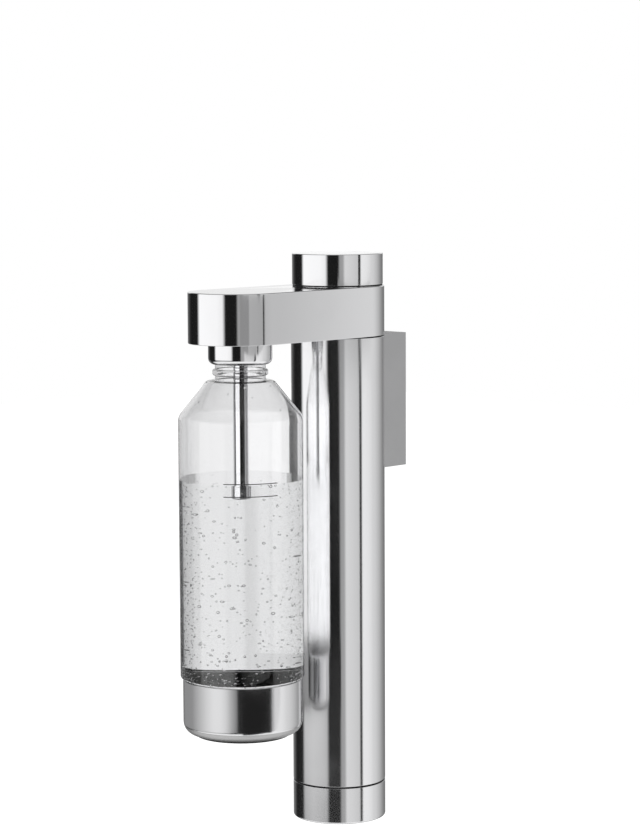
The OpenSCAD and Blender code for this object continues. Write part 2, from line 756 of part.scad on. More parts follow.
// Rubber ring in the groove round the button's root
module button_ring() color("black") placed() rotate_extrude()
    section(button_r - groove_depth + seat_clear, button_r - gap_inset,
        arm_top + seat_clear, arm_top + button_groove - seat_clear);

// Stem under the button, with the shoulder that stops it and the tip that presses the valve pin
module button_stem() color("lightgray") placed() rotate_extrude() {
    shoulder_top = chamber_top - move_clear;
    section(0, stem_d / 2, seal_z - over, button_top - button_top_t);
    section(0, shoulder_d / 2, shoulder_top - shoulder_h, shoulder_top);
    section(0, tip_d / 2, pin_top + move_clear, seal_z);
}

// Polished cap that closes the column's foot, with a spigot up into the tube
module bottom_cap() color("gainsboro") placed() rotate_extrude() difference() {
    union() {
        section(0, column_r, 0, cap_h, cap_edge_r);
        section(0, spigot_r, cap_h - over, tube_z + spigot_h);
    }
    translate([-over, cap_floor]) square([spigot_r_in + over, tube_z + spigot_h]);
    translate([cap_ring_r, tube_z + spigot_h / 2]) circle(d = cap_ring_d);
}

// Rubber ring in the spigot's groove
module cap_ring() color("black") placed()
    ring(cap_ring_r, cap_ring_d - 2 * seat_clear, tube_z + spigot_h / 2);

// Rubber ring in the visible gap between the cap and the tube
module cap_gasket() color("black") placed() rotate_extrude()
    section(spigot_r + seat_clear, column_r - gap_inset, cap_h, tube_z - seat_clear);

// Rubber pad on which the gas cylinder stands
module cylinder_pad() color("black") placed() rotate_extrude()
    section(0, spigot_r_in - seat_clear, cap_floor, cylinder_z);

// Gas cylinder with a hollow foot, a rounded shoulder and a neck
module gas_cylinder() color("lightslategray") placed() rotate_extrude() difference() {
    shoulder_top = neck_z - cylinder_neck_h;
    union() {
        section(0, cylinder_d / 2, cylinder_z, shoulder_top, cylinder_foot_r, cylinder_shoulder_r);
        section(0, cylinder_neck_d / 2, shoulder_top - over, neck_z, 0, 1);
    }
    section(0, cylinder_d / 2 - cylinder_wall, cylinder_z + 2 * cylinder_wall,
        shoulder_top - cylinder_wall, cylinder_foot_r, cylinder_shoulder_r - cylinder_wall);
    translate([-over, neck_z - valve_shank_l - 2 * cylinder_neck_h])
        square([valve_shank_d / 2 + seat_clear + over, valve_shank_l + 2 * cylinder_neck_h + over]);
}

// Brass valve in the cylinder's neck
module cylinder_valve() color("goldenrod") placed() difference() {
    union() {
        bore(valve_shank_d, neck_z - valve_shank_l, neck_z + over);
        hexagon(thread_d + 2 * hex_land, neck_z, hex_top);
        rotate_extrude() section(0, thread_d / 2, hex_top - over, valve_top, 0, 1);
    }
    bore(pin_d + 2 * run_clear, pin_top - pin_l - button_travel - over, valve_top + over);
}

// Pin in the valve, which the button's stem presses down
module valve_pin() color("lightgray") placed() rotate_extrude()
    section(0, pin_d / 2, pin_top - pin_l, pin_top, pin_d / 8, pin_d / 8);

// Outline of the bottle from its axis: body, shoulder cone, ring and neck, less an inset for its inside
module bottle_outline(inset) {
    foot = cup_z + cup_wall + seat_clear + inset;
    foot_body_r = cup_r - cup_wall - seat_clear - inset;
    r = bottle_r - inset;
    ring_r = neck_d / 2 + ring_w - inset;
    section(0, foot_body_r, foot, cup_top, bottle_foot_r - inset);
    polygon([[0, cup_top - over], [foot_body_r, cup_top - over], [foot_body_r, cup_top],
        [r, cup_top + draw_in_h], [r, cone_z - inset / 2], [ring_r, ring_z - ring_h - inset / 2],
        [neck_d / 2 - inset, ring_z - inset], [0, ring_z - inset]]);
    section(0, neck_d / 2 - inset, ring_z - inset - over, neck_top + (inset > 0 ? over : 0));
}

// Clear bottle with its neck and the bead round it
module bottle() color([0.85, 0.9, 0.92, 0.5]) placed() at_nozzle() rotate_extrude() difference() {
    union() {
        bottle_outline(0);
        section(0, neck_d / 2 + bead_out, ring_z + bead_z, ring_z + bead_z + bead_h, bead_h / 3, bead_h / 3);
    }
    bottle_outline(bottle_wall);
}

// Polished cup round the bottle's foot
module base_cup() color("gainsboro") placed() at_nozzle() rotate_extrude() difference() {
    section(0, cup_r, cup_z, cup_top, cup_edge_r);
    section(0, cup_r - cup_wall, cup_z + cup_wall, cup_top + over, cup_edge_r - cup_wall);
}

// Rubber ring on which the bottle stands
module foot_ring() color("black") placed() at_nozzle() rotate_extrude() {
    r = cup_r - cup_edge_r;
    section(r - foot_ring_w, r, bottle_z, cup_z, foot_ring_t / 3);
}

wall_plate();
wall_bracket();
lock_screw();
bracket_screws();
column_tube();
arm_shell();
arm_floor();
arm_gasket();
shell_screws();
floor_screws();
valve_block();
cylinder_gasket();
stem_bush();
stem_seal();
button_spring();
gas_pipe();
pipe_nuts();
nozzle_block();
relief_body();
relief_spring();
relief_cap();
relief_poppet();
collar();
neck_socket();
neck_seal();
nozzle_tube();
nozzle_tip();
top_button();
button_ring();
button_stem();
bottom_cap();
cap_ring();
cap_gasket();
cylinder_pad();
gas_cylinder();
cylinder_valve();
valve_pin();
bottle();
base_cup();
foot_ring();
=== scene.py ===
"""Looks of a wall-hung sparkling water maker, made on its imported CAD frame.

One operator makes each piece or group of like pieces, and one sets up the stage: camera, light and floor.
"""

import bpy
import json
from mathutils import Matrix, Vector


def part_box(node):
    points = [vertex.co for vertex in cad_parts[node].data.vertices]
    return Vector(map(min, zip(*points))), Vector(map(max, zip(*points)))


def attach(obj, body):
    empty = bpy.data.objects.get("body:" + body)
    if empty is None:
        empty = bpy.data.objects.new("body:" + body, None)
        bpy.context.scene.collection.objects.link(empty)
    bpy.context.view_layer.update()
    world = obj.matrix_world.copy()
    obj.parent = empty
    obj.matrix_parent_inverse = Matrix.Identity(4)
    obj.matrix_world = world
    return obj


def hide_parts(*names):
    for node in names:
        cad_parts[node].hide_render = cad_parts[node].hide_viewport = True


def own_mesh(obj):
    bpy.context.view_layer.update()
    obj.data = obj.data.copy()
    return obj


bl_info = {
    "name": "Sparkling water maker",
    "version": (1, 0, 0),
    "blender": (4, 5, 0),
    "location": "3D View > Sidebar > Water maker",
    "description": "Makes the polished pieces, the bottle, the gas supply and the stage of a water maker",
    "category": "Object",
}

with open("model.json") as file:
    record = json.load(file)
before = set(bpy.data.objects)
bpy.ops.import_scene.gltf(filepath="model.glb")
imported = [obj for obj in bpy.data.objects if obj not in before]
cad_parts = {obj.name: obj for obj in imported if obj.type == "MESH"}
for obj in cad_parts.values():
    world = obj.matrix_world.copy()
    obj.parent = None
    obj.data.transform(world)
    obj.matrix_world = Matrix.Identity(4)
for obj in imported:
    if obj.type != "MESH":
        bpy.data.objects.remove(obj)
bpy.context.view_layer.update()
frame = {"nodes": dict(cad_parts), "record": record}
BOXES = {node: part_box(node) for node in frame["nodes"]}

import json
import math
import random

import bmesh
import bpy
from bmesh.types import BMEdge, BMVert
from bpy.props import FloatProperty, FloatVectorProperty, IntProperty, PointerProperty
from mathutils import Euler, Matrix, Vector

MM = 0.001
FULL_TURN = 2 * math.pi
HALF_TURN = math.pi
QUARTER_TURN = HALF_TURN / 2
UP = Vector((0, 0, 1))
MIDDLE = Vector((0, 0, 0))
MERGED = 0.001 * MM
HAIR = 0.01 * MM
TUBE_WALL = 1.5 * MM
CLEARANCE = 0.3 * MM
IMAGE_HEIGHT = 837


# Places and sizes taken from the frame

def low(node):
    """Lowest height of a CAD node."""
    return BOXES[node][0].z


def high(node):
    """Highest height of a CAD node."""
    return BOXES[node][1].z


def radius(node):
    """Radius of a CAD node whose axis lies in the plane x = 0."""
    lowest, highest = BOXES[node]
    return max(highest.x, -lowest.x)


def extent(node):
    """Radius, lowest and highest height of a CAD node."""
    return radius(node), low(node), high(node)


def axis(node):
    """Place of an upright CAD node's axis, at height 0."""
    lowest, highest = BOXES[node]
    return Vector((0, (lowest.y + highest.y) / 2, 0))


def outward(turned):
    """Level direction from the column to a place that is turned so far round it."""
    return Vector((math.sin(turned), -math.cos(turned), 0))


def rightward(turned):
    """Level direction to the right, as seen from that place."""
    return Vector((math.cos(turned), math.sin(turned), 0))


COLUMN = axis("column_tube")
BOTTLE = axis("bottle")


# Sizes and colours that a user would change

def length_setting(name, description, size, least, most):
    """Setting for a length, given in millimetres."""
    return FloatProperty(
        name=name, description=description, unit="LENGTH", default=size * MM, min=least * MM, max=most * MM)


def angle_setting(name, description, degrees):
    """Setting for an angle."""
    return FloatProperty(name=name, description=description, subtype="ANGLE", default=math.radians(degrees))


class SteelSettings(bpy.types.PropertyGroup):
    """Finish of the polished steel."""

    tint: FloatVectorProperty(
        name="Tint", description="Colour of the polished steel", subtype="COLOR",
        default=(0.80, 0.80, 0.81), min=0, max=1)
    gloss: FloatProperty(
        name="Roughness", description="Roughness of the clean polished steel", subtype="FACTOR",
        default=0.06, min=0, max=1)
    smudge: FloatProperty(
        name="Smudges", description="Roughness that smudges and fine marks add", subtype="FACTOR",
        default=0.06, min=0, max=1)
    sheet: length_setting("Sheet", "Thickness of the arm's sheet steel", 0.6, 0.2, 2)
    edge: length_setting("Edge", "Rounding of the fine polished edges", 0.3, 0.05, 1)


class BottleSettings(bpy.types.PropertyGroup):
    """Sizes of the bottle and its water."""

    wall: length_setting("Wall", "Wall of the clear bottle", 0.8, 0.5, 4)
    neck: length_setting("Neck", "Radius of the bottle's neck", 17.8, 12, 24)
    ring: length_setting("Ring", "Radius of the ring at the shoulder's top", 24, 19, 30)
    ring_drop: length_setting(
        "Ring depth", "Depth of the shoulder's ring below the neck's top", 21.5, 10, 30)
    cone: length_setting("Shoulder", "Height of the shoulder's cone", 25, 10, 40)
    bead: length_setting("Bead", "Radius of the bead round the neck", 19.5, 18, 22)
    water_drop: length_setting(
        "Water level", "Depth of the water's surface below the neck's top", 91.2, 60, 200)
    bubbles: IntProperty(
        name="Bubbles", description="Number of gas bubbles in the water", default=2150, min=0, max=2200)
    drops: IntProperty(
        name="Drops", description="Number of drops above the water", default=16, min=0, max=100)


class StageSettings(bpy.types.PropertyGroup):
    """Camera, light and floor."""

    distance: length_setting("Distance", "Distance of the camera from the column's axis", 1924.6, 500, 5000)
    azimuth: angle_setting("Azimuth", "Turn of the camera round the column", 42.82)
    height: length_setting("Height", "Height of the camera above the column's foot", 495.4, -1000, 3000)
    bearing: angle_setting("Bearing", "Compass turn of the camera's view", 43.21)
    pitch: angle_setting("Pitch", "How far the camera looks down", 5.97)
    roll: angle_setting("Roll", "Lean of the camera", -0.27)
    focal_pixels: FloatProperty(
        name="Focal length", description="Focal length in pixels of the photograph's frame",
        default=2650.7, min=500, max=9000)
    floor_gap: length_setting("Floor gap", "Height of the column's foot above the floor", 440, 0, 2000)
    fill: FloatProperty(
        name="Fill light", description="Even light that the world gives", default=0.75, min=0, max=2)


# Shader maths

class Value:
    """A shader output that takes part in Python expressions: each operator adds a Math node."""

    def __init__(self, maker, output):
        self.maker = maker
        self.output = output

    def math(self, operation, first, second):
        return self.maker.node("ShaderNodeMath", {"operation": operation}, {0: first, 1: second})

    def __add__(self, other):
        return self.math("ADD", self, other)

    __radd__ = __add__

    def __sub__(self, other):
        return self.math("SUBTRACT", self, other)

    def __rsub__(self, other):
        return self.math("SUBTRACT", other, self)

    def __mul__(self, other):
        return self.math("MULTIPLY", self, other)

    __rmul__ = __mul__

    def __truediv__(self, other):
        return self.math("DIVIDE", self, other)


class NodeMaker:
    """Adds the nodes of one material or world."""

    def __init__(self, tree):
        self.tree = tree
        tree.nodes.clear()

    def node(self, kind, settings, inputs, output=0):
        """Adds a node, sets its settings first and then its sockets, and returns one of its outputs."""
        made = self.tree.nodes.new(kind)
        for name, setting in settings.items():
            if name == "stops":
                self.set_stops(made.color_ramp, setting)
            else:
                setattr(made, name, setting)
        for name, given in inputs.items():
            socket = made.inputs[name]
            if isinstance(given, Value):
                self.tree.links.new(given.output, socket)
            else:
                socket.default_value = given
        return Value(self, made.outputs[output]) if made.outputs else None

    def set_stops(self, ramp, stops):
        """Gives a ramp its stops, each a place and a grey level."""
        while len(ramp.elements) < len(stops):
            ramp.elements.new(1)
        for element, (place, level) in zip(ramp.elements, stops):
            element.position = place
            element.color = grey(level)

    def place(self, upright=1):
        """Object coordinates, stretched upright."""
        coordinates = self.node("ShaderNodeTexCoord", {}, {}, "Object")
        return self.node("ShaderNodeMapping", {}, {"Vector": coordinates, "Scale": (1, 1, upright)})

    def noise(self, scale, detail, upright=1):
        """Noise from 0 to 1, with scale as waves to the metre."""
        return self.node(
            "ShaderNodeTexNoise", {}, {"Vector": self.place(upright), "Scale": scale, "Detail": detail})

    def between(self, value, start, end):
        """Moves value from the range start to end to the range 0 to 1, smoothly."""
        return self.node(
            "ShaderNodeMapRange", {"interpolation_type": "SMOOTHSTEP"},
            {"Value": value, "From Min": start, "From Max": end, "To Min": 0.0, "To Max": 1.0})

    def dot(self, first, second):
        """Dot product of two vectors."""
        return self.node(
            "ShaderNodeVectorMath", {"operation": "DOT_PRODUCT"}, {0: first, 1: second}, "Value")

    def ramp(self, stops, place):
        """Grey level at a place along a row of stops."""
        return self.node("ShaderNodeValToRGB", {"stops": stops}, {"Fac": place})

    def mix(self, factor, first, second):
        """Mixes two colours."""
        return self.node("ShaderNodeMix", {"data_type": "RGBA"}, {0: factor, 6: first, 7: second}, 2)

    def bump(self, height, strength, depth):
        """Normal of a surface with this height, depth in metres."""
        return self.node("ShaderNodeBump", {}, {"Height": height, "Strength": strength, "Distance": depth})

    def surface(self, shader):
        """Ends the material in a shader."""
        self.node("ShaderNodeOutputMaterial", {}, {"Surface": shader})


def colour(red, green, blue):
    """Colour socket value of three linear levels."""
    return (red, green, blue, 1.0)


def grey(level):
    """Colour socket value of one linear level."""
    return colour(level, level, level)


def new_finish(name):
    """A new material and its node maker."""
    material = bpy.data.materials.new(name)
    material.use_nodes = True
    return material, NodeMaker(material.node_tree)


# Finishes, each giving the sockets of its Principled shader

def polished(make, added, grain):
    """Polished stainless steel with fine turning marks, smudges and hairlines; grain draws its gloss out."""
    steel = bpy.context.scene.water_maker_steel
    marks = make.noise(40, 2.0, 60)
    smudges = make.between(make.noise(26, 4.0), 0.52, 0.72)
    hairlines = make.between(make.noise(60, 2.0, 22), 0.66, 0.76)
    wear = smudges * 0.5 + hairlines * 0.35 + marks * 0.4
    dulled = [level * 0.94 for level in steel.tint]
    return {
        "Base Color": make.mix(smudges * 0.3, colour(*steel.tint), colour(*dulled)),
        "Metallic": 1.0,
        "Roughness": steel.gloss + added + wear * steel.smudge,
        "Anisotropic": grain,
        "Anisotropic Rotation": 0.25,
        "Normal": make.bump(marks, 0.05, 0.01 * MM),
    }


def mirror_steel(make):
    """Mirror polish of the arm, the button, the collar and the nozzle."""
    return polished(make, 0.0, 0.0)


def turned_steel(make):
    """Polish of the turned column and its cap, with a fine grain that runs round them."""
    return polished(make, 0.07, 0.9)


def spun_steel(make):
    """Softer polish of the spun base cup."""
    return polished(make, 0.09, 0.3)


def cup_lining(make):
    """Dull unpolished inside of the base cup."""
    marks = make.noise(50, 3.0, 30)
    return {
        "Base Color": make.mix(marks, grey(0.45), grey(0.55)),
        "Metallic": 1.0,
        "Roughness": 0.38 + marks * 0.12,
    }


def satin_alloy(make):
    """Blasted and anodised alloy, with a fine even grain."""
    grain = make.noise(2600, 2.0)
    cloud = make.noise(38, 3.0)
    return {
        "Base Color": make.mix(cloud, colour(0.42, 0.42, 0.425), colour(0.48, 0.48, 0.485)),
        "Metallic": 1.0,
        "Roughness": 0.36 + grain * 0.14,
        "Normal": make.bump(grain, 0.25, 0.03 * MM),
    }


def zinc_plate(make):
    """Zinc-plated steel of the plate, the screws, the springs and the small moving parts."""
    cloud = make.noise(160, 4.0)
    spangle = make.node("ShaderNodeTexVoronoi", {}, {"Vector": make.place(), "Scale": 420.0}, "Color")
    spots = make.node("ShaderNodeSeparateColor", {}, {"Color": spangle})
    return {
        "Base Color": make.mix(cloud, colour(0.52, 0.53, 0.54), colour(0.66, 0.67, 0.68)),
        "Metallic": 1.0,
        "Roughness": 0.24 + cloud * 0.12 + spots * 0.06,
        "Normal": make.bump(cloud, 0.15, 0.02 * MM),
    }


def turned_brass(make):
    """Turned brass with tool marks and a light tarnish."""
    marks = make.noise(60, 2.0, 40)
    tarnish = make.between(make.noise(90, 5.0), 0.45, 0.75)
    return {
        "Base Color": make.mix(tarnish, colour(0.76, 0.55, 0.24), colour(0.50, 0.34, 0.15)),
        "Metallic": 1.0,
        "Roughness": 0.18 + marks * 0.12 + tarnish * 0.15,
        "Normal": make.bump(marks, 0.2, 0.02 * MM),
    }


def seal_rubber(make):
    """Matt black rubber with a fine moulded grain."""
    grain = make.noise(1800, 3.0)
    bloom = make.noise(70, 4.0)
    return {
        "Base Color": make.mix(bloom, colour(0.008, 0.008, 0.009), colour(0.022, 0.022, 0.023)),
        "Roughness": 0.62 + grain * 0.2,
        "IOR": 1.25,
        "Normal": make.bump(grain, 0.3, 0.05 * MM),
    }


def dark_moulding(make):
    """Dark moulded plastic of the neck's socket."""
    grain = make.noise(1400, 3.0)
    flow = make.noise(60, 3.0)
    return {
        "Base Color": make.mix(flow, colour(0.030, 0.031, 0.033), colour(0.048, 0.049, 0.052)),
        "Roughness": 0.42 + grain * 0.15,
        "Normal": make.bump(grain, 0.2, 0.04 * MM),
    }


def cylinder_lacquer(make):
    """Grey lacquer of the gas cylinder, with a light orange peel."""
    peel = make.noise(520, 2.0)
    cloud = make.noise(24, 4.0)
    scuffs = make.between(make.noise(60, 4.0, 8), 0.62, 0.74)
    return {
        "Base Color": make.mix(cloud, colour(0.30, 0.31, 0.32), colour(0.36, 0.37, 0.38)),
        "Metallic": 0.35,
        "Roughness": 0.26 + peel * 0.06 + scuffs * 0.2,
        "Normal": make.bump(peel, 0.12, 0.06 * MM),
        "Coat Weight": 0.3,
    }


def clear_bottle_plastic(make):
    """Clear bottle plastic with the faintest handling marks; its shoulder has painted shade, a little darker
    colour there.
    """
    bottle = bpy.context.scene.water_maker_bottle
    waves = make.noise(30, 2.0)
    scuffs = make.between(make.noise(300, 3.0, 6), 0.66, 0.80)
    height = make.node("ShaderNodeSeparateXYZ", {}, {"Vector": make.place()}, "Z")
    # Painted shade: the shoulder's cone, between these heights, gets a darker colour
    ring = high("bottle") - bottle.ring_drop
    below = make.between(height, ring, ring - MM)
    above = make.between(height, ring - bottle.cone - 2 * MM, ring - bottle.cone)
    return {
        "Base Color": make.mix(below * above, colour(0.985, 0.985, 0.99), colour(0.94, 0.94, 0.945)),
        "Roughness": scuffs * 0.05,
        "IOR": 1.5,
        "Transmission Weight": 1.0,
        "Normal": make.bump(waves, 0.15, 0.2 * MM),
    }


def clear_water(make):
    """Carbonated water; its surface ripples a little."""
    return {
        "Base Color": colour(0.965, 0.97, 0.97),
        "Roughness": 0.0,
        "IOR": 1.333,
        "Transmission Weight": 1.0,
        "Normal": make.bump(make.noise(90, 2.0), 0.1, 0.2 * MM),
    }


def fizzing_surface(make):
    """Top of the water, clouded by the finest bubbles that burst there."""
    return {
        "Base Color": colour(0.97, 0.975, 0.98),
        "Roughness": 0.02 + make.noise(420, 3.0) * 0.08,
        "IOR": 1.02,
        "Transmission Weight": 0.95,
        "Coat Weight": 1.0,
        "Coat IOR": 1.5,
    }


def bubble_skin(make):
    """Skin of a gas bubble in the water, which bends the light a little."""
    return {"Base Color": grey(0.98), "Roughness": 0.0, "IOR": 1.34, "Transmission Weight": 1.0}


def line_ink(make):
    """Dark printing ink of the fill lines, a little uneven."""
    grain = make.noise(3000, 2.0)
    return {"Base Color": make.mix(grain, grey(0.02), grey(0.045)), "Roughness": 0.45 + grain * 0.2}


FINISHES = {paint.__name__: paint for paint in (
    mirror_steel, turned_steel, spun_steel, cup_lining, satin_alloy, zinc_plate, turned_brass, seal_rubber,
    dark_moulding, cylinder_lacquer, clear_bottle_plastic, clear_water, fizzing_surface, bubble_skin,
    line_ink,
)}


def finish(name):
    """A finish by name, made when it is first asked for."""
    material = bpy.data.materials.get(name)
    if material is None:
        material, make = new_finish(name)
        make.surface(make.node("ShaderNodeBsdfPrincipled", {}, FINISHES[name](make)))
    return material


# Mesh tools

def only(kind, geometry):
    """The parts of one kind in what a mesh operator made."""
    return [part for part in geometry if isinstance(part, kind)]


def round_off(bm, geometry, rounding, segments=6, affect="VERTICES"):
    """Rounds the corners of a section, or the edges of a solid."""
    bmesh.ops.bevel(
        bm, geom=geometry, offset=rounding, offset_type="OFFSET", segments=segments, profile=0.5,
        affect=affect, material=-1)


def move(bm, verts, way):
    """Moves vertices along way."""
    bmesh.ops.translate(bm, verts=verts, vec=way)


def spin(bm, geometry, angle, steps, centre=MIDDLE, **more):
    """Spins geometry round an upright axis, and returns its last copy."""
    return bmesh.ops.spin(
        bm, geom=geometry, cent=centre, axis=UP, angle=angle, steps=steps, **more)["geom_last"]


def outline(corners, closed):
    """New bmesh of a section in the plane y = 0: corners give radius, height and rounding."""
    bm = bmesh.new()
    verts = [bm.verts.new((across, 0, height)) for across, height, _ in corners]
    for pair in zip(verts, verts[1:]):
        bm.edges.new(pair)
    if closed:
        bm.edges.new((verts[-1], verts[0]))
    for vert, (_, _, rounding) in zip(verts, corners):
        if rounding:
            round_off(bm, [vert], rounding)
    return bm


def turned_shape(corners, centre, steps=192):
    """New bmesh of a turned shape; a section that doesn't start on the axis is closed to a ring."""
    bm = outline(corners, closed=corners[0][0] > 0)
    spin(bm, bm.verts[:] + bm.edges[:], FULL_TURN, steps, use_merge=True)
    move(bm, bm.verts, centre)
    close_up(bm, bm.verts[:])
    return bm


def close_up(bm, verts):
    """Merges doubles of a new shape and points its faces outwards."""
    bmesh.ops.remove_doubles(bm, verts=verts, dist=MERGED)
    kept = {vert for vert in verts if vert.is_valid}
    faces = [face for face in bm.faces if face.verts[0] in kept]
    bmesh.ops.recalc_face_normals(bm, faces=faces)


def mesh_of(bm, name):
    """Mesh made of a bmesh, which is freed."""
    mesh = bpy.data.meshes.new(name)
    bm.to_mesh(mesh)
    bm.free()
    return mesh


def add_object(name, data):
    """New object in the scene."""
    made = bpy.data.objects.new(name, data)
    bpy.context.scene.collection.objects.link(made)
    return made


def ball(name, inward=False):
    """Mesh of a coarse ball of radius 1 m, to be copied at its real size; an inward one takes finish 2."""
    bm = bmesh.new()
    bmesh.ops.create_uvsphere(bm, u_segments=8, v_segments=6, radius=1)
    if inward:
        bmesh.ops.reverse_faces(bm, faces=bm.faces)
        for face in bm.faces:
            face.material_index = 2
    return mesh_of(bm, name)


def add_copy(bm, mesh, place):
    """Adds a copy of a mesh to a bmesh, put in place by a matrix."""
    mesh.transform(place)
    bm.from_mesh(mesh)
    mesh.transform(place.inverted())


def settle(bm, name, finish_name, body, nodes=(), sheet=0.0, sharp=32.0):
    """Makes a piece of a bmesh, gives it its finish and lets it ride on its body."""
    mesh = mesh_of(bm, name)
    mesh.shade_smooth()
    mesh.set_sharp_from_angle(angle=math.radians(sharp))
    mesh.materials.append(finish(finish_name))
    piece = add_object(name, mesh)
    if sheet:
        wall = piece.modifiers.new("sheet", "SOLIDIFY")
        wall.thickness = sheet
        wall.offset = -1
    shading = piece.modifiers.new("even_shading", "WEIGHTED_NORMAL")
    shading.keep_sharp = True
    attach(piece, body)
    if nodes:
        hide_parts(*nodes)
    return piece


def coil_spring(name, node, centre, wire, turns, joint):
    """Coil spring in place of a CAD node, wound from its wire and turns."""
    outer, bottom, top = extent(node)
    length = top - bottom
    steps_a_turn = 24
    steps = round(steps_a_turn * turns)
    bm = bmesh.new()
    bmesh.ops.create_circle(
        bm, cap_ends=True, segments=10, radius=wire / 2,
        matrix=Matrix.Translation((outer - wire / 2, 0, 0)) @ Matrix.Rotation(QUARTER_TURN, 4, "X"))
    spin(bm, bm.faces[:], FULL_TURN * turns, steps, dvec=UP * ((length - wire) / steps))
    move(bm, bm.verts, centre + UP * (bottom + wire / 2))
    close_up(bm, bm.verts[:])
    spring = settle(bm, name, "zinc_plate", "stand", [node])
    travel = {row["name"]: row["range_m"][1] for row in frame["record"]["behaviour"]["joints"]}
    1 - travel[joint] / length
    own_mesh(spring)


def dress(finish_name, *nodes):
    """Gives CAD nodes that keep their shape their finish."""
    for node in nodes:
        for slot in frame["nodes"][node].material_slots:
            slot.material = finish(finish_name)


# Pieces

class MakeColumn(bpy.types.Operator):
    """Polished tube of the column"""

    bl_idname = "water_maker.make_column"
    bl_label = "Column"

    def execute(self, context):
        edge = context.scene.water_maker_steel.edge
        outer, bottom, top = extent("column_tube")
        inner = outer - TUBE_WALL
        bm = turned_shape([
            (outer, bottom, edge), (outer, top, edge), (inner, top, 0), (inner, bottom, 0),
        ], COLUMN)
        settle(bm, "polished_column", "turned_steel", "stand", ["column_tube"])
        return {"FINISHED"}


class MakeFootCap(bpy.types.Operator):
    """Polished cap at the column's foot, with its spigot"""

    bl_idname = "water_maker.make_foot_cap"
    bl_label = "Foot cap"

    def execute(self, context):
        edge = context.scene.water_maker_steel.edge
        outer, bottom, top = extent("bottom_cap")
        shelf = low("cap_gasket")
        spigot = radius("column_tube") - TUBE_WALL - CLEARANCE
        inner = spigot - 1.7 * MM
        floor_top = bottom + 3 * MM
        rounding = 0.5 * MM
        bm = turned_shape([
            (0, bottom, 0), (outer, bottom, 1.5 * MM), (outer, shelf, edge), (spigot, shelf, 0),
            (spigot, top, rounding), (inner, top, rounding), (inner, floor_top, 0), (0, floor_top, 0),
        ], COLUMN)
        settle(bm, "polished_foot_cap", "turned_steel", "foot_cap", ["bottom_cap"])
        # Painted shade: cap_gasket is a black ring put where the gap between the foot cap and the column is
        # in shade
        dress("seal_rubber", "cap_ring", "cap_gasket", "cylinder_pad")
        return {"FINISHED"}


class MakeArm(bpy.types.Operator):
    """Polished sheet housing that reaches out over the bottle"""

    bl_idname = "water_maker.make_arm"
    bl_label = "Arm"

    STEPS = 72

    def execute(self, context):
        outer, bottom, top = extent("arm_shell")
        rim = outer - radius("top_button") - CLEARANCE
        hem = 0.4 * MM
        fullness = 0.96
        reach = Vector((0, BOXES["arm_shell"][0].y + outer - COLUMN.y, 0))
        bm = outline([
            (outer - hem, bottom, 0), (outer, bottom, hem * fullness), (outer, top, rim * fullness),
            (outer - rim, top, 0),
        ], closed=False)
        back = spin(bm, bm.verts[:] + bm.edges[:], HALF_TURN, self.STEPS)
        side = self.drawn(bm, back, reach)
        nose = spin(bm, side, HALF_TURN, self.STEPS, reach)
        self.drawn(bm, nose, -reach)
        bmesh.ops.remove_doubles(bm, verts=bm.verts, dist=MERGED)
        self.close_top(bm, outer - rim, top)
        move(bm, bm.verts, COLUMN)
        bmesh.ops.recalc_face_normals(bm, faces=bm.faces)
        settle(
            bm, "polished_arm", "mirror_steel", "stand", ["arm_shell"],
            sheet=context.scene.water_maker_steel.sheet)
        dress("satin_alloy", "arm_floor")
        dress("seal_rubber", "arm_gasket")
        dress("zinc_plate", "shell_screws")
        return {"FINISHED"}

    def drawn(self, bm, geometry, way):
        """Draws a section's edges out along way, and returns the new section."""
        drawn = bmesh.ops.extrude_edge_only(bm, edges=only(BMEdge, geometry))["geom"]
        verts = only(BMVert, drawn)
        move(bm, verts, way)
        return verts + [edge for edge in only(BMEdge, drawn) if all(vert in verts for vert in edge.verts)]

    def close_top(self, bm, hole, height):
        """Fills the flat top in front of the button's hole."""
        start = bm.verts.new((-hole, 0, height))
        spin(bm, [start], HALF_TURN, self.STEPS)
        bmesh.ops.remove_doubles(bm, verts=bm.verts, dist=MERGED)
        level = [edge for edge in bm.edges if all(abs(vert.co.z - height) < HAIR for vert in edge.verts)]
        front = [edge for edge in level if edge.is_boundary and max(vert.co.y for vert in edge.verts) < HAIR]
        arc = [edge for edge in level if edge.is_wire]
        bmesh.ops.triangle_fill(bm, use_beauty=True, use_dissolve=False, edges=front + arc, normal=UP)


class MakeButton(bpy.types.Operator):
    """Polished press cap on top of the column"""

    bl_idname = "water_maker.make_button"
    bl_label = "Button"

    def execute(self, context):
        outer, bottom, top = extent("top_button")
        inner = outer - TUBE_WALL
        roof = top - 3 * MM
        boss = 9 * MM
        boss_foot = roof - 8 * MM
        stem = 3.6 * MM
        root = high("arm_shell")
        lip = high("button_ring") + 0.1 * MM
        groove = outer - 0.8 * MM
        skirt_edge = 0.2 * MM
        bm = turned_shape([
            (0, top, 0), (outer, top, 0.6 * MM), (outer, lip, 0.12 * MM), (groove, lip, 0),
            (groove, root, 0), (outer, root, 0.1 * MM), (outer, bottom, skirt_edge),
            (inner, bottom, skirt_edge), (inner, roof, 0), (boss, roof, 0), (boss, boss_foot, 0.5 * MM),
            (stem, boss_foot, 0), (stem, roof, 0), (0, roof, 0),
        ], COLUMN)
        settle(bm, "polished_button", "mirror_steel", "button", ["top_button"])
        # Painted shade: the black rubber ring fills the groove under the cap, a dark ring put where the gap
        # is in shade
        dress("seal_rubber", "button_ring")
        dress("zinc_plate", "button_stem")
        coil_spring(
            "return_spring", "button_spring", COLUMN, 1.6 * MM, 5.5, "button_press")
        return {"FINISHED"}


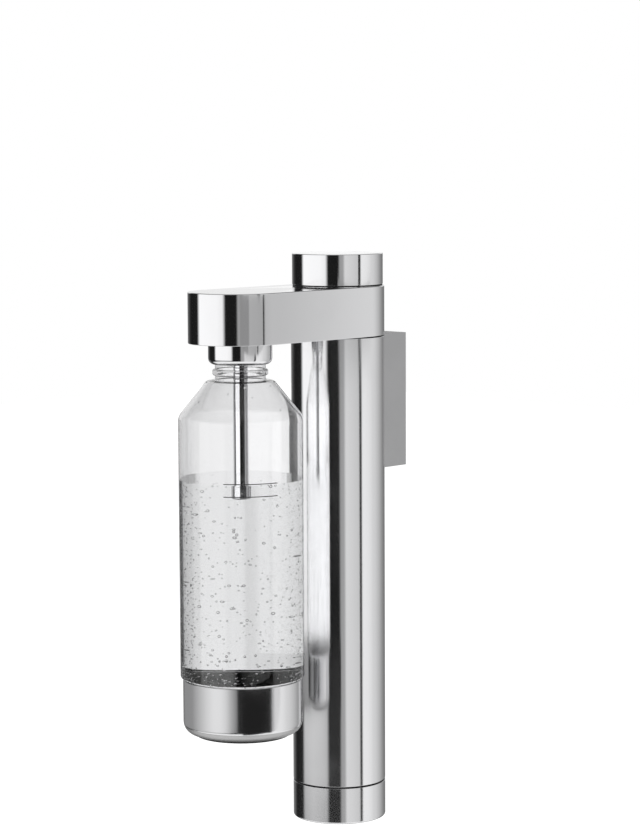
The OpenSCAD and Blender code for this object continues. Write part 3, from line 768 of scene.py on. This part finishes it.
class MakeCollar(bpy.types.Operator):
    """Polished collar under the arm's nose, with the neck's socket and seal"""

    bl_idname = "water_maker.make_collar"
    bl_label = "Collar"

    def execute(self, context):
        outer, bottom, top = extent("collar")
        lip = context.scene.water_maker_bottle.neck + CLEARANCE
        wall = 1.4 * MM
        turned_in = outer - lip - 0.1 * MM
        bm = turned_shape([
            (outer, top, context.scene.water_maker_steel.edge), (outer, bottom, turned_in), (lip, bottom, 0),
            (lip, bottom + wall, 0), (outer - wall, bottom + wall, turned_in - wall), (outer - wall, top, 0),
        ], BOTTLE, 160)
        settle(bm, "polished_collar", "mirror_steel", "stand", ["collar"])
        dress("dark_moulding", "neck_socket")
        dress("seal_rubber", "neck_seal")
        return {"FINISHED"}


class MakeNozzle(bpy.types.Operator):
    """Polished nozzle tube and its tip"""

    bl_idname = "water_maker.make_nozzle"
    bl_label = "Nozzle"

    def execute(self, context):
        bore = 2.5 * MM
        rounding = 0.3 * MM
        outer, bottom, top = extent("nozzle_tube")
        bm = turned_shape([
            (outer, bottom, 0), (outer, top, rounding), (bore, top, 0), (bore, bottom, 0),
        ], BOTTLE, 96)
        settle(bm, "polished_nozzle", "mirror_steel", "stand", ["nozzle_tube"])
        wide, foot, top = extent("nozzle_tip")
        step = (foot + top) / 2
        hole = 0.8 * MM
        bm = turned_shape([
            (hole, foot, 0.2 * MM), (wide, foot, 1.2 * MM), (wide, top, rounding), (bore, top, 0),
            (bore, step, 0), (hole, step, 0),
        ], BOTTLE, 96)
        settle(bm, "polished_nozzle_tip", "mirror_steel", "stand", ["nozzle_tip"])
        return {"FINISHED"}


def bottle_section(settings, inset):
    """Corners of the bottle's outline from its foot to its ring, moved in by inset."""
    outer, foot, top = extent("bottle")
    outer -= inset
    foot += inset
    cup_inside = radius("base_cup") - 0.9 * MM - inset
    cup_rim = high("base_cup")
    ring_foot = top - settings.ring_drop - 1 * MM - inset / 2
    return [
        (0, foot, 0), (cup_inside, foot, 18 * MM - inset), (cup_inside, cup_rim, 0.3 * MM),
        (outer, cup_rim + 1.5 * MM, 1 * MM), (outer, ring_foot - settings.cone, 3 * MM),
        (settings.ring - inset, ring_foot, 1.2 * MM - inset / 2),
    ]


class MakeBottle(bpy.types.Operator):
    """Clear bottle with its neck, bead and printed fill lines"""

    bl_idname = "water_maker.make_bottle"
    bl_label = "Bottle"

    # The fill lines' depths below the neck's top, their turn to the left of the view, and their sweep
    LINE_DROPS = (90.3 * MM, 99.1 * MM)
    LINE_START = math.radians(14.5)
    LINE_SWEEP = math.radians(51)

    def execute(self, context):
        bottle = context.scene.water_maker_bottle
        top = high("bottle")
        ring = top - bottle.ring_drop
        neck = bottle.neck
        bore = neck - bottle.wall
        mouth_edge = 0.6 * MM
        bead_edge = 1.4 * MM
        bead_root = 0.3 * MM
        bead_low = ring + 3 * MM
        bead_high = bead_low + 4.5 * MM
        outside = bottle_section(bottle, 0) + [
            (neck, ring, 0.4 * MM), (neck, bead_low, bead_root), (bottle.bead, bead_low, bead_edge),
            (bottle.bead, bead_high, bead_edge), (neck, bead_high, bead_root), (neck, top, mouth_edge),
        ]
        inside = [(bore, top, mouth_edge), (bore, ring - bottle.wall, 1 * MM)]
        inside += reversed(bottle_section(bottle, bottle.wall))
        bm = turned_shape(outside + inside, BOTTLE)
        settle(bm, "clear_bottle", "clear_bottle_plastic", "bottle_body", ["bottle"])
        self.fill_lines(context.scene.water_maker_stage)
        return {"FINISHED"}

    def fill_lines(self, stage):
        """Two printed lines on the bottle's front, each a thin band bent round it."""
        sunk = radius("bottle") - 0.01 * MM
        line_height = 0.6 * MM
        thickness = 0.02 * MM
        start = stage.bearing - self.LINE_START - QUARTER_TURN
        upright = Matrix.Rotation(QUARTER_TURN, 3, "X")
        bm = bmesh.new()
        for drop in self.LINE_DROPS:
            band = bmesh.ops.create_grid(bm, x_segments=1, y_segments=1, size=0.5)["verts"]
            bmesh.ops.scale(bm, verts=band, vec=(thickness, line_height, 1))
            bmesh.ops.rotate(bm, verts=band, cent=MIDDLE, matrix=upright)
            move(bm, band, (sunk + thickness / 2, 0, high("bottle") - drop))
            bmesh.ops.rotate(bm, verts=band, cent=MIDDLE, matrix=Matrix.Rotation(start, 3, "Z"))
            spin(bm, [band[0].link_faces[0]], self.LINE_SWEEP, 24)
        move(bm, bm.verts, BOTTLE)
        close_up(bm, bm.verts[:])
        settle(bm, "fill_lines", "line_ink", "bottle_body")


class MakeBaseCup(bpy.types.Operator):
    """Polished cup round the bottle's foot, with its rubber ring"""

    bl_idname = "water_maker.make_base_cup"
    bl_label = "Base cup"

    def execute(self, context):
        outer, bottom, top = extent("base_cup")
        wall = 0.8 * MM
        inner = outer - wall
        floor_top = bottom + wall
        edge = 8.5 * MM
        rim_edge = 0.25 * MM
        bm = turned_shape([
            (0, bottom, 0), (outer, bottom, edge), (outer, top, rim_edge), (inner, top, rim_edge),
            (inner, floor_top, edge - wall), (0, floor_top, 0),
        ], BOTTLE)
        for face in bm.faces:
            place = face.calc_center_median() - BOTTLE
            if place.z > bottom + 0.5 * wall and place.xy.length < outer - 0.6 * wall:
                face.material_index = 1
        cup = settle(bm, "spun_base_cup", "spun_steel", "bottle_body", ["base_cup"])
        cup.data.materials.append(finish("cup_lining"))
        ring = radius("foot_ring")
        foot = low("foot_ring")
        hole = ring - 5 * MM
        foot_edge = 0.4 * MM
        bm = turned_shape([
            (ring, foot, foot_edge), (ring, bottom, 0), (hole, bottom, 0), (hole, foot, foot_edge),
        ], BOTTLE, 128)
        settle(bm, "rubber_foot", "seal_rubber", "bottle_body", ["foot_ring"])
        return {"FINISHED"}


def round_bottle(across, turned, height):
    """Place beside the bottle's axis."""
    return BOTTLE + Vector((across * math.cos(turned), across * math.sin(turned), height))


class MakeWater(bpy.types.Operator):
    """Sparkling water with its bubbles, and drops above it"""

    bl_idname = "water_maker.make_water"
    bl_label = "Water"

    # How the bubbles spread: share, bearing and its spread or None, least size, added size in mm
    BUBBLES = (
        (0.48, -2.3, 0.38, 0.42, 0.20), (0.26, 0.8, 0.36, 0.38, 0.34), (0.18, None, 0, 0.34, 0.42),
        (0.08, None, 0, 0.4, 0.7),
    )
    SHARES = [kind[0] for kind in BUBBLES]

    # Bubbles drawn below the first number gather over the cup, and those from there to the second float
    GATHERED = 0.16
    AFLOAT = 0.18
    GATHERED_HEIGHT = 12 * MM

    def execute(self, context):
        bottle = context.scene.water_maker_bottle
        overlap = 0.15 * MM
        level = high("bottle") - bottle.water_drop
        wall = bottle_section(bottle, bottle.wall - overlap)[:4]
        bm = turned_shape(wall + [(wall[-1][0], level, 0), (0, level, 0)], BOTTLE)
        for face in bm.faces:
            if all(abs(vert.co.z - level) < HAIR for vert in face.verts):
                face.material_index = 1
        chance = random.Random(11)
        hollow = ball("hollow", inward=True)
        for _ in range(bottle.bubbles):
            self.bubble(bm, hollow, chance, wall[2][0], level)
        water = settle(bm, "sparkling_water", "clear_water", "bottle_body", sharp=60)
        water.data.materials.append(finish("fizzing_surface"))
        water.data.materials.append(finish("bubble_skin"))
        self.stray_drops(bottle, chance, level)
        return {"FINISHED"}

    def bubble(self, bm, hollow, chance, wall, level):
        """A round hollow in the water, small as a rule: most cling to the wall and more low down."""
        kind = chance.choices(self.BUBBLES, self.SHARES)[0]
        _, bearing, scatter, least, more = kind
        size = (least + more * chance.random() ** 2) * MM
        reach = wall - CLEARANCE - size
        across = reach if kind is not self.BUBBLES[-1] else reach * chance.random() ** 0.5
        turned = chance.uniform(0, FULL_TURN) if bearing is None else chance.gauss(bearing, scatter)
        bottom = high("base_cup") - 4 * MM
        height = bottom + (level - size * 1.5 - bottom) * chance.random() ** 1.15
        drawn = chance.random()
        if drawn < self.GATHERED:
            height = bottom + chance.random() * self.GATHERED_HEIGHT
        elif drawn < self.AFLOAT:
            height = level - size * 1.2
        if across < radius("nozzle_tip") + size + MM and height > low("nozzle_tip") - 2 * MM:
            return
        place = round_bottle(across, turned, height)
        add_copy(bm, hollow, Matrix.LocRotScale(place, None, Vector((size, size, size))))

    def stray_drops(self, bottle, chance, level):
        """Flattened drops inside the bottle's shoulder; every third is a smaller one on the nozzle."""
        (wide, cone_low, _), (narrow, cone_high, _) = bottle_section(bottle, bottle.wall)[-2:]
        drop = ball("drop")
        on_shoulder = bmesh.new()
        on_nozzle = bmesh.new()
        for count in range(bottle.drops):
            bm = on_shoulder
            size = (0.5 + 1.2 * chance.random() ** 2) * MM
            turned = chance.uniform(0, FULL_TURN)
            part = chance.uniform(0.1, 0.9)
            across = wide + (narrow - wide) * part
            height = cone_low + (cone_high - cone_low) * part
            if count % 3 == 0:
                bm = on_nozzle
                size *= 0.5
                across = radius("nozzle_tube")
                height = chance.uniform(level + 10 * MM, cone_high)
            add_copy(bm, drop, Matrix.LocRotScale(
                round_bottle(across, turned, height), Euler((0, 0, turned)),
                Vector((0.5 * size, size, 1.2 * size))))
        settle(on_shoulder, "shoulder_drops", "clear_water", "bottle_body", sharp=60)
        settle(on_nozzle, "nozzle_drops", "clear_water", "stand", sharp=60)


class MakeBracket(bpy.types.Operator):
    """Satin bracket that carries the column on the wall plate"""

    bl_idname = "water_maker.make_bracket"
    bl_label = "Bracket"

    def execute(self, context):
        lowest, highest = BOXES["wall_bracket"]
        half = highest.x
        depth = highest.y - COLUMN.y
        hollow = radius("column_tube") + 0.1 * MM
        start = math.acos(half / hollow)
        front = hollow * math.sin(start)
        bm = bmesh.new()
        first = bm.verts.new((half, front, lowest.z))
        spin(bm, [first], HALF_TURN - 2 * start, 48)
        right = max(bm.verts, key=lambda vert: vert.co.x)
        left = min(bm.verts, key=lambda vert: vert.co.x)
        back_right = bm.verts.new((half, depth, lowest.z))
        back_left = bm.verts.new((-half, depth, lowest.z))
        for pair in ((right, back_right), (back_right, back_left), (back_left, left)):
            bm.edges.new(pair)
        plan = bmesh.ops.contextual_create(bm, geom=bm.edges[:])["faces"]
        raised = bmesh.ops.extrude_face_region(bm, geom=plan)["geom"]
        move(bm, only(BMVert, raised), UP * (highest.z - lowest.z))
        bmesh.ops.recalc_face_normals(bm, faces=bm.faces)
        self.hollow_back(bm)
        least_angle = 0.5
        edges = [edge for edge in bm.edges if edge.calc_face_angle(0) > least_angle
                 and min(vert.co.y for vert in edge.verts) > front + MM]
        round_off(bm, edges, 0.6 * MM, 4, "EDGES")
        move(bm, bm.verts, COLUMN)
        settle(bm, "satin_bracket", "satin_alloy", "stand", ["wall_bracket"])
        dress("zinc_plate", "wall_plate", "lock_screw", "bracket_screws")
        return {"FINISHED"}

    def hollow_back(self, bm):
        """Sinks the pocket for the wall plate into the bracket's back."""
        side_wall = 3 * MM
        end_added = 2 * MM
        pocket = 11 * MM
        back = max(bm.faces, key=lambda face: face.calc_center_median().y)
        bmesh.ops.inset_region(bm, faces=[back], thickness=side_wall)
        middle = back.calc_center_median().z
        for vert in back.verts:
            vert.co.z += end_added if vert.co.z < middle else -end_added
        sunk = bmesh.ops.extrude_discrete_faces(bm, faces=[back])["faces"]
        move(bm, sunk[0].verts, (0, -pocket, 0))


class MakeGasSupply(bpy.types.Operator):
    """Lacquered gas cylinder and its threaded brass valve"""

    bl_idname = "water_maker.make_gas_supply"
    bl_label = "Gas supply"

    def execute(self, context):
        outer, foot, neck_top = extent("gas_cylinder")
        shoulder = neck_top - 12 * MM
        neck = 14.5 * MM
        shank = 9.1 * MM
        shank_foot = neck_top - 16 * MM
        bm = turned_shape([
            (0, foot, 0), (outer, foot, 7 * MM), (outer, shoulder, 20 * MM), (neck, shoulder, 0),
            (neck, neck_top, 1 * MM), (shank, neck_top, 0), (shank, shank_foot, 0), (0, shank_foot, 0),
        ], COLUMN, 160)
        settle(
            bm, "lacquered_cylinder", "cylinder_lacquer", "gas_supply",
            ["gas_cylinder"])
        self.valve(neck_top)
        dress("zinc_plate", "valve_pin")
        return {"FINISHED"}

    def valve(self, neck_top):
        """Brass valve: hexagon, threaded spigot and the bore of its pin."""
        foot = low("cylinder_valve")
        top = high("cylinder_valve")
        collar = neck_top + MM
        pin = 2.05 * MM
        shank = 9 * MM
        core = 9.2 * MM
        bm = turned_shape([
            (pin, foot, 0), (shank, foot, 0.5 * MM), (shank, collar, 0), (core, collar, 0),
            (core, top, 1 * MM), (pin, top, 0.4 * MM),
        ], COLUMN, 96)
        corner = 14.4 * MM
        hexagon_top = neck_top + 10 * MM
        blank = bmesh.ops.create_cone(
            bm, cap_ends=True, segments=6, radius1=corner, radius2=corner, depth=hexagon_top - neck_top,
            matrix=Matrix.Translation(COLUMN + UP * ((hexagon_top + neck_top) / 2)))["verts"]
        round_off(bm, list({edge for vert in blank for edge in vert.link_edges}), 0.5 * MM, 3, "EDGES")
        self.thread(bm, core - 0.2 * MM, hexagon_top + 0.3 * MM)
        settle(bm, "threaded_valve", "turned_brass", "gas_supply", ["cylinder_valve"])

    def thread(self, bm, root, bottom):
        """Winds the thread's ridge round the valve's spigot."""
        crest = 10.5 * MM
        pitch = 2.5 * MM
        turns = 7
        steps_a_turn = 48
        before = set(bm.verts)
        ridge = [bm.verts.new((across, 0, height)) for across, height in (
            (root, 0), (crest, 0.55 * MM), (crest, 0.95 * MM), (root, 1.5 * MM))]
        face = bmesh.ops.contextual_create(bm, geom=ridge)["faces"]
        spin(bm, face, FULL_TURN * turns, steps_a_turn * turns, dvec=UP * (pitch / steps_a_turn))
        wound = [vert for vert in bm.verts if vert not in before]
        move(bm, wound, COLUMN + UP * bottom)
        close_up(bm, wound)


class DressInside(bpy.types.Operator):
    """Finishes of the parts inside the arm"""

    bl_idname = "water_maker.dress_inside"
    bl_label = "Inside parts"

    def execute(self, context):
        dress(
            "turned_brass", "valve_block", "stem_bush", "gas_pipe", "pipe_nuts", "nozzle_block",
            "relief_body", "relief_cap")
        dress("zinc_plate", "floor_screws", "relief_poppet")
        coil_spring(
            "closing_spring", "relief_spring", BOTTLE, 0.7 * MM, 3, "relief_lift")
        dress("seal_rubber", "cylinder_gasket", "stem_seal")
        return {"FINISHED"}


# Stage

class MakeStage(bpy.types.Operator):
    """Camera, studio light and floor"""

    bl_idname = "water_maker.make_stage"
    bl_label = "Stage"

    # Grey levels of the panels and flags round the object, by degrees to the right of the camera
    RIGHT_SIDE = [
        (2, 0.012), (6, 0.38), (14, 0.42), (19, 0.82), (35, 0.77), (53.5, 0.68), (54.5, 0.02), (60, 0.02),
        (61.5, 0.95), (66, 1.0), (80, 0.95), (90, 0.87), (94, 0.80), (104, 0.75), (112, 0.66), (121, 0.56),
        (131, 0.42), (141, 0.30), (152, 0.22), (180, 0.2),
    ]
    UPPER = [
        (-180, 0.4), (-160, 0.20), (-150, 0.10), (-140, 0.03), (-130, 0.012), (-103, 0.015), (-95, 1.20),
        (-45, 1.16), (-31, 1.06), (-24, 0.012), *RIGHT_SIDE,
    ]
    LOWER = [
        (-180, 0.4), (-160, 0.24), (-150, 0.16), (-141, 0.08), (-132, 0.015), (-104, 0.02), (-95, 0.29),
        (-70, 0.41), (-50, 0.33), (-32, 0.23), (-25, 0.012), *RIGHT_SIDE,
    ]
    BACKLIGHT = [
        (-180, 0.97), (-177.3, 0.97), (-176.9, 0.82), (-162, 0.80), (-110, 0.45),
        (110, 0.45), (162, 0.83), (178, 0.86), (179, 0.97), (180, 0.97),
    ]
    BOTTLE_FRONT = [
        (-180, 0.12), (-84, 0.12), (-79, 1.5), (-16, 1.5), (-9, 0.01), (62, 0.01), (68, 0.40), (96, 0.45),
        (103, 0.02), (180, 0.02),
    ]

    # Boards round the base cup: two ends, as metres from the column towards the camera and to the right,
    # and grey levels; then their heights from the cup's rim
    CUP_CARDS = (
        ("dark_flag", (0.150, -0.066), (0.150, 0.012), [(0, 0.012), (1, 0.012)]),
        ("cup_board", (-0.010, -0.160), (0.130, -0.160), [(0, 0.29), (0.6, 0.32), (1, 0.76)]),
        ("cup_light", (0.130, -0.160), (0.221, -0.086), [
            (0, 0.76), (0.21, 0.90), (0.40, 0.90), (0.53, 0.80), (0.60, 0.72), (0.67, 0.59), (0.75, 0.48),
            (0.87, 0.35), (1, 0.22)]),
        ("cup_panel", (0.150, 0.030), (0.150, 0.180), [
            (0, 0.40), (0.02, 0.42), (0.10, 0.80), (0.42, 0.77), (1, 0.68)]),
    )
    CUP_CARD_HEIGHTS = (-0.060, -0.004)

    # Board beside the arm: two ends, heights from the arm's lower edge, and grey levels
    ARM_CARD_ENDS = ((0.35, -0.42, 0), (0.35, 0.295, 0))
    ARM_CARD_HEIGHTS = (-0.040, 0.018)
    ARM_LEVELS = [
        (0, 0.32), (0.212, 0.32), (0.24, 0.49), (0.524, 0.46), (0.531, 0.06), (0.556, 0.04), (0.574, 0.42),
        (0.606, 0.57), (0.844, 0.61), (1, 0.80),
    ]

    # Lamps by name, degrees to the right of the camera and power, and their places in metres
    LAMPS = (("key_softbox", -60, 14), ("fill_softbox", 70, 7))
    LAMP_SIZE = 1.6
    LAMP_DISTANCE = 1.8
    LAMP_HEIGHT = 1.3
    LAMP_AIM = 0.2

    def execute(self, context):
        stage = context.scene.water_maker_stage
        foot = COLUMN + UP * low("bottom_cap")
        self.camera(context.scene, stage, foot)
        self.world(context.scene, stage)
        self.cards(stage)
        self.lamps(stage, foot)
        self.floor(stage, foot)
        context.scene.view_settings.view_transform = "Standard"
        return {"FINISHED"}

    def camera(self, scene, stage, foot):
        """Camera at the photograph's place, with its long side taken as the picture's height."""
        right = rightward(stage.bearing)
        away = -outward(stage.bearing)
        forward = away * math.cos(stage.pitch) - UP * math.sin(stage.pitch)
        lift = away * math.sin(stage.pitch) + UP * math.cos(stage.pitch)
        side = right * math.cos(stage.roll) + lift * math.sin(stage.roll)
        top = lift * math.cos(stage.roll) - right * math.sin(stage.roll)
        data = bpy.data.cameras.new("view")
        data.sensor_width = 36
        data.lens = stage.focal_pixels * data.sensor_width / IMAGE_HEIGHT
        data.clip_start = 0.01
        data.clip_end = 100
        scene.camera = add_object("view", data)
        turned = Matrix((side, top, -forward)).transposed().to_4x4()
        place = foot + outward(stage.azimuth) * stage.distance + UP * stage.height
        scene.camera.matrix_world = Matrix.Translation(place) @ turned

    def world(self, scene, stage):
        """Studio of panels and dark flags, apart for reflections and for glass; the camera sees white."""
        scene.world = bpy.data.worlds.new("studio")
        scene.world.use_nodes = True
        make = NodeMaker(scene.world.node_tree)
        ray = make.node("ShaderNodeTexCoord", {}, {}, "Generated")
        height = make.node("ShaderNodeSeparateXYZ", {}, {"Vector": ray}, "Z")
        turned = make.node("ShaderNodeMath", {"operation": "ARCTAN2"}, {
            0: make.dot(ray, rightward(stage.azimuth)), 1: make.dot(ray, outward(stage.azimuth))})
        facing = make.node("ShaderNodeMath", {"operation": "COSINE"}, {0: turned})
        bearing = turned / FULL_TURN + 0.5
        upper, lower, backlight, front = [
            make.ramp([(degrees / 360 + 0.5, level) for degrees, level in panels], bearing)
            for panels in (self.UPPER, self.LOWER, self.BACKLIGHT, self.BOTTLE_FRONT)]
        backdrop = make.between(facing, -0.7, -0.95)
        overhead = make.between(height, 0.3, 0.5)
        mirrored = make.mix(make.between(height, -0.19, -0.225), upper, lower)
        for zone, level in (
                (make.between(height, 0.0, 0.03) * backdrop, 1.12),
                (make.between(height, 0.043, 0.046) * backdrop, 0.85),
                (overhead, 0.2),
                (make.between(height, 0.65, 0.9), 0.6),
                (make.between(height, -0.4, -0.55), 1.05),
                (make.between(facing, -0.55, -0.85) * make.between(height, -0.3, -0.42), 0.03)):
            mirrored = make.mix(zone, mirrored, grey(level))
        through = make.mix(make.between(facing, -0.15, -0.5), front, backlight)
        through = make.mix(overhead, through, grey(0.2))
        through = make.mix(make.between(height, -0.45, -0.65), through, grey(0.45))
        seen = grey(stage.fill)
        for kind, shown in (
                ("Is Glossy Ray", mirrored), ("Is Transmission Ray", through), ("Is Camera Ray", grey(1))):
            seen = make.mix(make.node("ShaderNodeLightPath", {}, {}, kind), seen, shown)
        light = make.node("ShaderNodeBackground", {}, {"Color": seen, "Strength": 1.0})
        make.node("ShaderNodeOutputWorld", {}, {"Surface": light})

    def cards(self, stage):
        """Boards beside the base cup and the arm, which show only in reflections."""
        towards = outward(stage.azimuth)
        right = rightward(stage.azimuth)
        cup = COLUMN + UP * high("base_cup")
        for name, *ends, levels in self.CUP_CARDS:
            start, end = [cup + towards * near + right * aside for near, aside in ends]
            self.card(name, start, end, *self.CUP_CARD_HEIGHTS, levels)
        arm = UP * low("arm_shell")
        start, end = [arm + Vector(place) for place in self.ARM_CARD_ENDS]
        self.card("arm_board", start, end, *self.ARM_CARD_HEIGHTS, self.ARM_LEVELS)

    def card(self, name, start, end, bottom, top, levels):
        """An upright board from start to end, with grey levels that run along it."""
        material, make = new_finish(name)
        way = (end - start) / (end - start).length_squared
        along = make.dot(make.place(), way) - start.dot(way)
        glow = make.node("ShaderNodeEmission", {}, {"Color": make.ramp(levels, along), "Strength": 1.0})
        make.surface(glow)
        bm = bmesh.new()
        foot = bm.edges.new([bm.verts.new(start + UP * bottom), bm.verts.new(end + UP * bottom)])
        raised = bmesh.ops.extrude_edge_only(bm, edges=[foot])["geom"]
        move(bm, only(BMVert, raised), UP * (top - bottom))
        board = add_object(name, mesh_of(bm, name))
        board.data.materials.append(material)
        board.visible_camera = False
        board.visible_diffuse = False
        board.visible_transmission = False
        board.visible_shadow = False

    def lamps(self, stage, foot):
        """Two large soft lamps from the front left and the right."""
        for name, degrees, power in self.LAMPS:
            data = bpy.data.lights.new(name, "AREA")
            data.energy = power
            data.size = self.LAMP_SIZE
            lamp = add_object(name, data)
            way = outward(stage.azimuth + math.radians(degrees))
            place = foot + way * self.LAMP_DISTANCE + UP * self.LAMP_HEIGHT
            aim = foot + UP * self.LAMP_AIM - place
            lamp.matrix_world = Matrix.Translation(place) @ aim.to_track_quat("-Z", "Y").to_matrix().to_4x4()
            lamp.visible_glossy = False
            lamp.visible_transmission = False

    def floor(self, stage, foot):
        """Pale floor well below the object, clear of everything that comes down out of the column."""
        material, make = new_finish("pale_floor")
        shade = make.mix(make.noise(6, 2.0), grey(0.60), grey(0.62))
        matt = make.node("ShaderNodeBsdfDiffuse", {}, {"Color": shade})
        camera_ray = make.node("ShaderNodeLightPath", {}, {}, "Is Camera Ray")
        glow = make.node("ShaderNodeEmission", {}, {"Color": grey(1), "Strength": camera_ray * 0.7})
        make.surface(make.node("ShaderNodeAddShader", {}, {0: matt, 1: glow}))
        reach = 6
        bm = bmesh.new()
        bmesh.ops.create_grid(bm, x_segments=1, y_segments=1, size=reach)
        move(bm, bm.verts, foot - UP * stage.floor_gap)
        floor = add_object("floor", mesh_of(bm, "floor"))
        floor.data.materials.append(material)
        floor.visible_glossy = False
        floor.visible_transmission = False


PIECES = (
    MakeColumn, MakeFootCap, MakeArm, MakeButton, MakeCollar, MakeNozzle, MakeBottle, MakeBaseCup, MakeWater,
    MakeBracket, MakeGasSupply, DressInside, MakeStage,
)


class WaterMakerPanel(bpy.types.Panel):
    """Lists the settings and the operators."""

    bl_idname = "VIEW3D_PT_water_maker"
    bl_label = "Water maker"
    bl_space_type = "VIEW_3D"
    bl_region_type = "UI"
    bl_category = "Water maker"

    def draw(self, context):
        scene = context.scene
        for settings in (scene.water_maker_steel, scene.water_maker_bottle, scene.water_maker_stage):
            box = self.layout.box()
            for name in settings.__annotations__:
                box.prop(settings, name)
        for operator in PIECES:
            self.layout.operator(operator.bl_idname)


CLASSES = (SteelSettings, BottleSettings, StageSettings, *PIECES, WaterMakerPanel)


def register():
    for cls in CLASSES:
        bpy.utils.register_class(cls)
    bpy.types.Scene.water_maker_steel = PointerProperty(type=SteelSettings)
    bpy.types.Scene.water_maker_bottle = PointerProperty(type=BottleSettings)
    bpy.types.Scene.water_maker_stage = PointerProperty(type=StageSettings)


def unregister():
    del bpy.types.Scene.water_maker_stage
    del bpy.types.Scene.water_maker_bottle
    del bpy.types.Scene.water_maker_steel
    for cls in reversed(CLASSES):
        bpy.utils.unregister_class(cls)


def main():
    """Makes every piece and the stage."""
    register()
    bpy.ops.water_maker.make_column()
    bpy.ops.water_maker.make_foot_cap()
    bpy.ops.water_maker.make_arm()
    bpy.ops.water_maker.make_button()
    bpy.ops.water_maker.make_collar()
    bpy.ops.water_maker.make_nozzle()
    bpy.ops.water_maker.make_bottle()
    bpy.ops.water_maker.make_base_cup()
    bpy.ops.water_maker.make_water()
    bpy.ops.water_maker.make_bracket()
    bpy.ops.water_maker.make_gas_supply()
    bpy.ops.water_maker.dress_inside()
    bpy.ops.water_maker.make_stage()


if __name__ == "__main__":
    main()
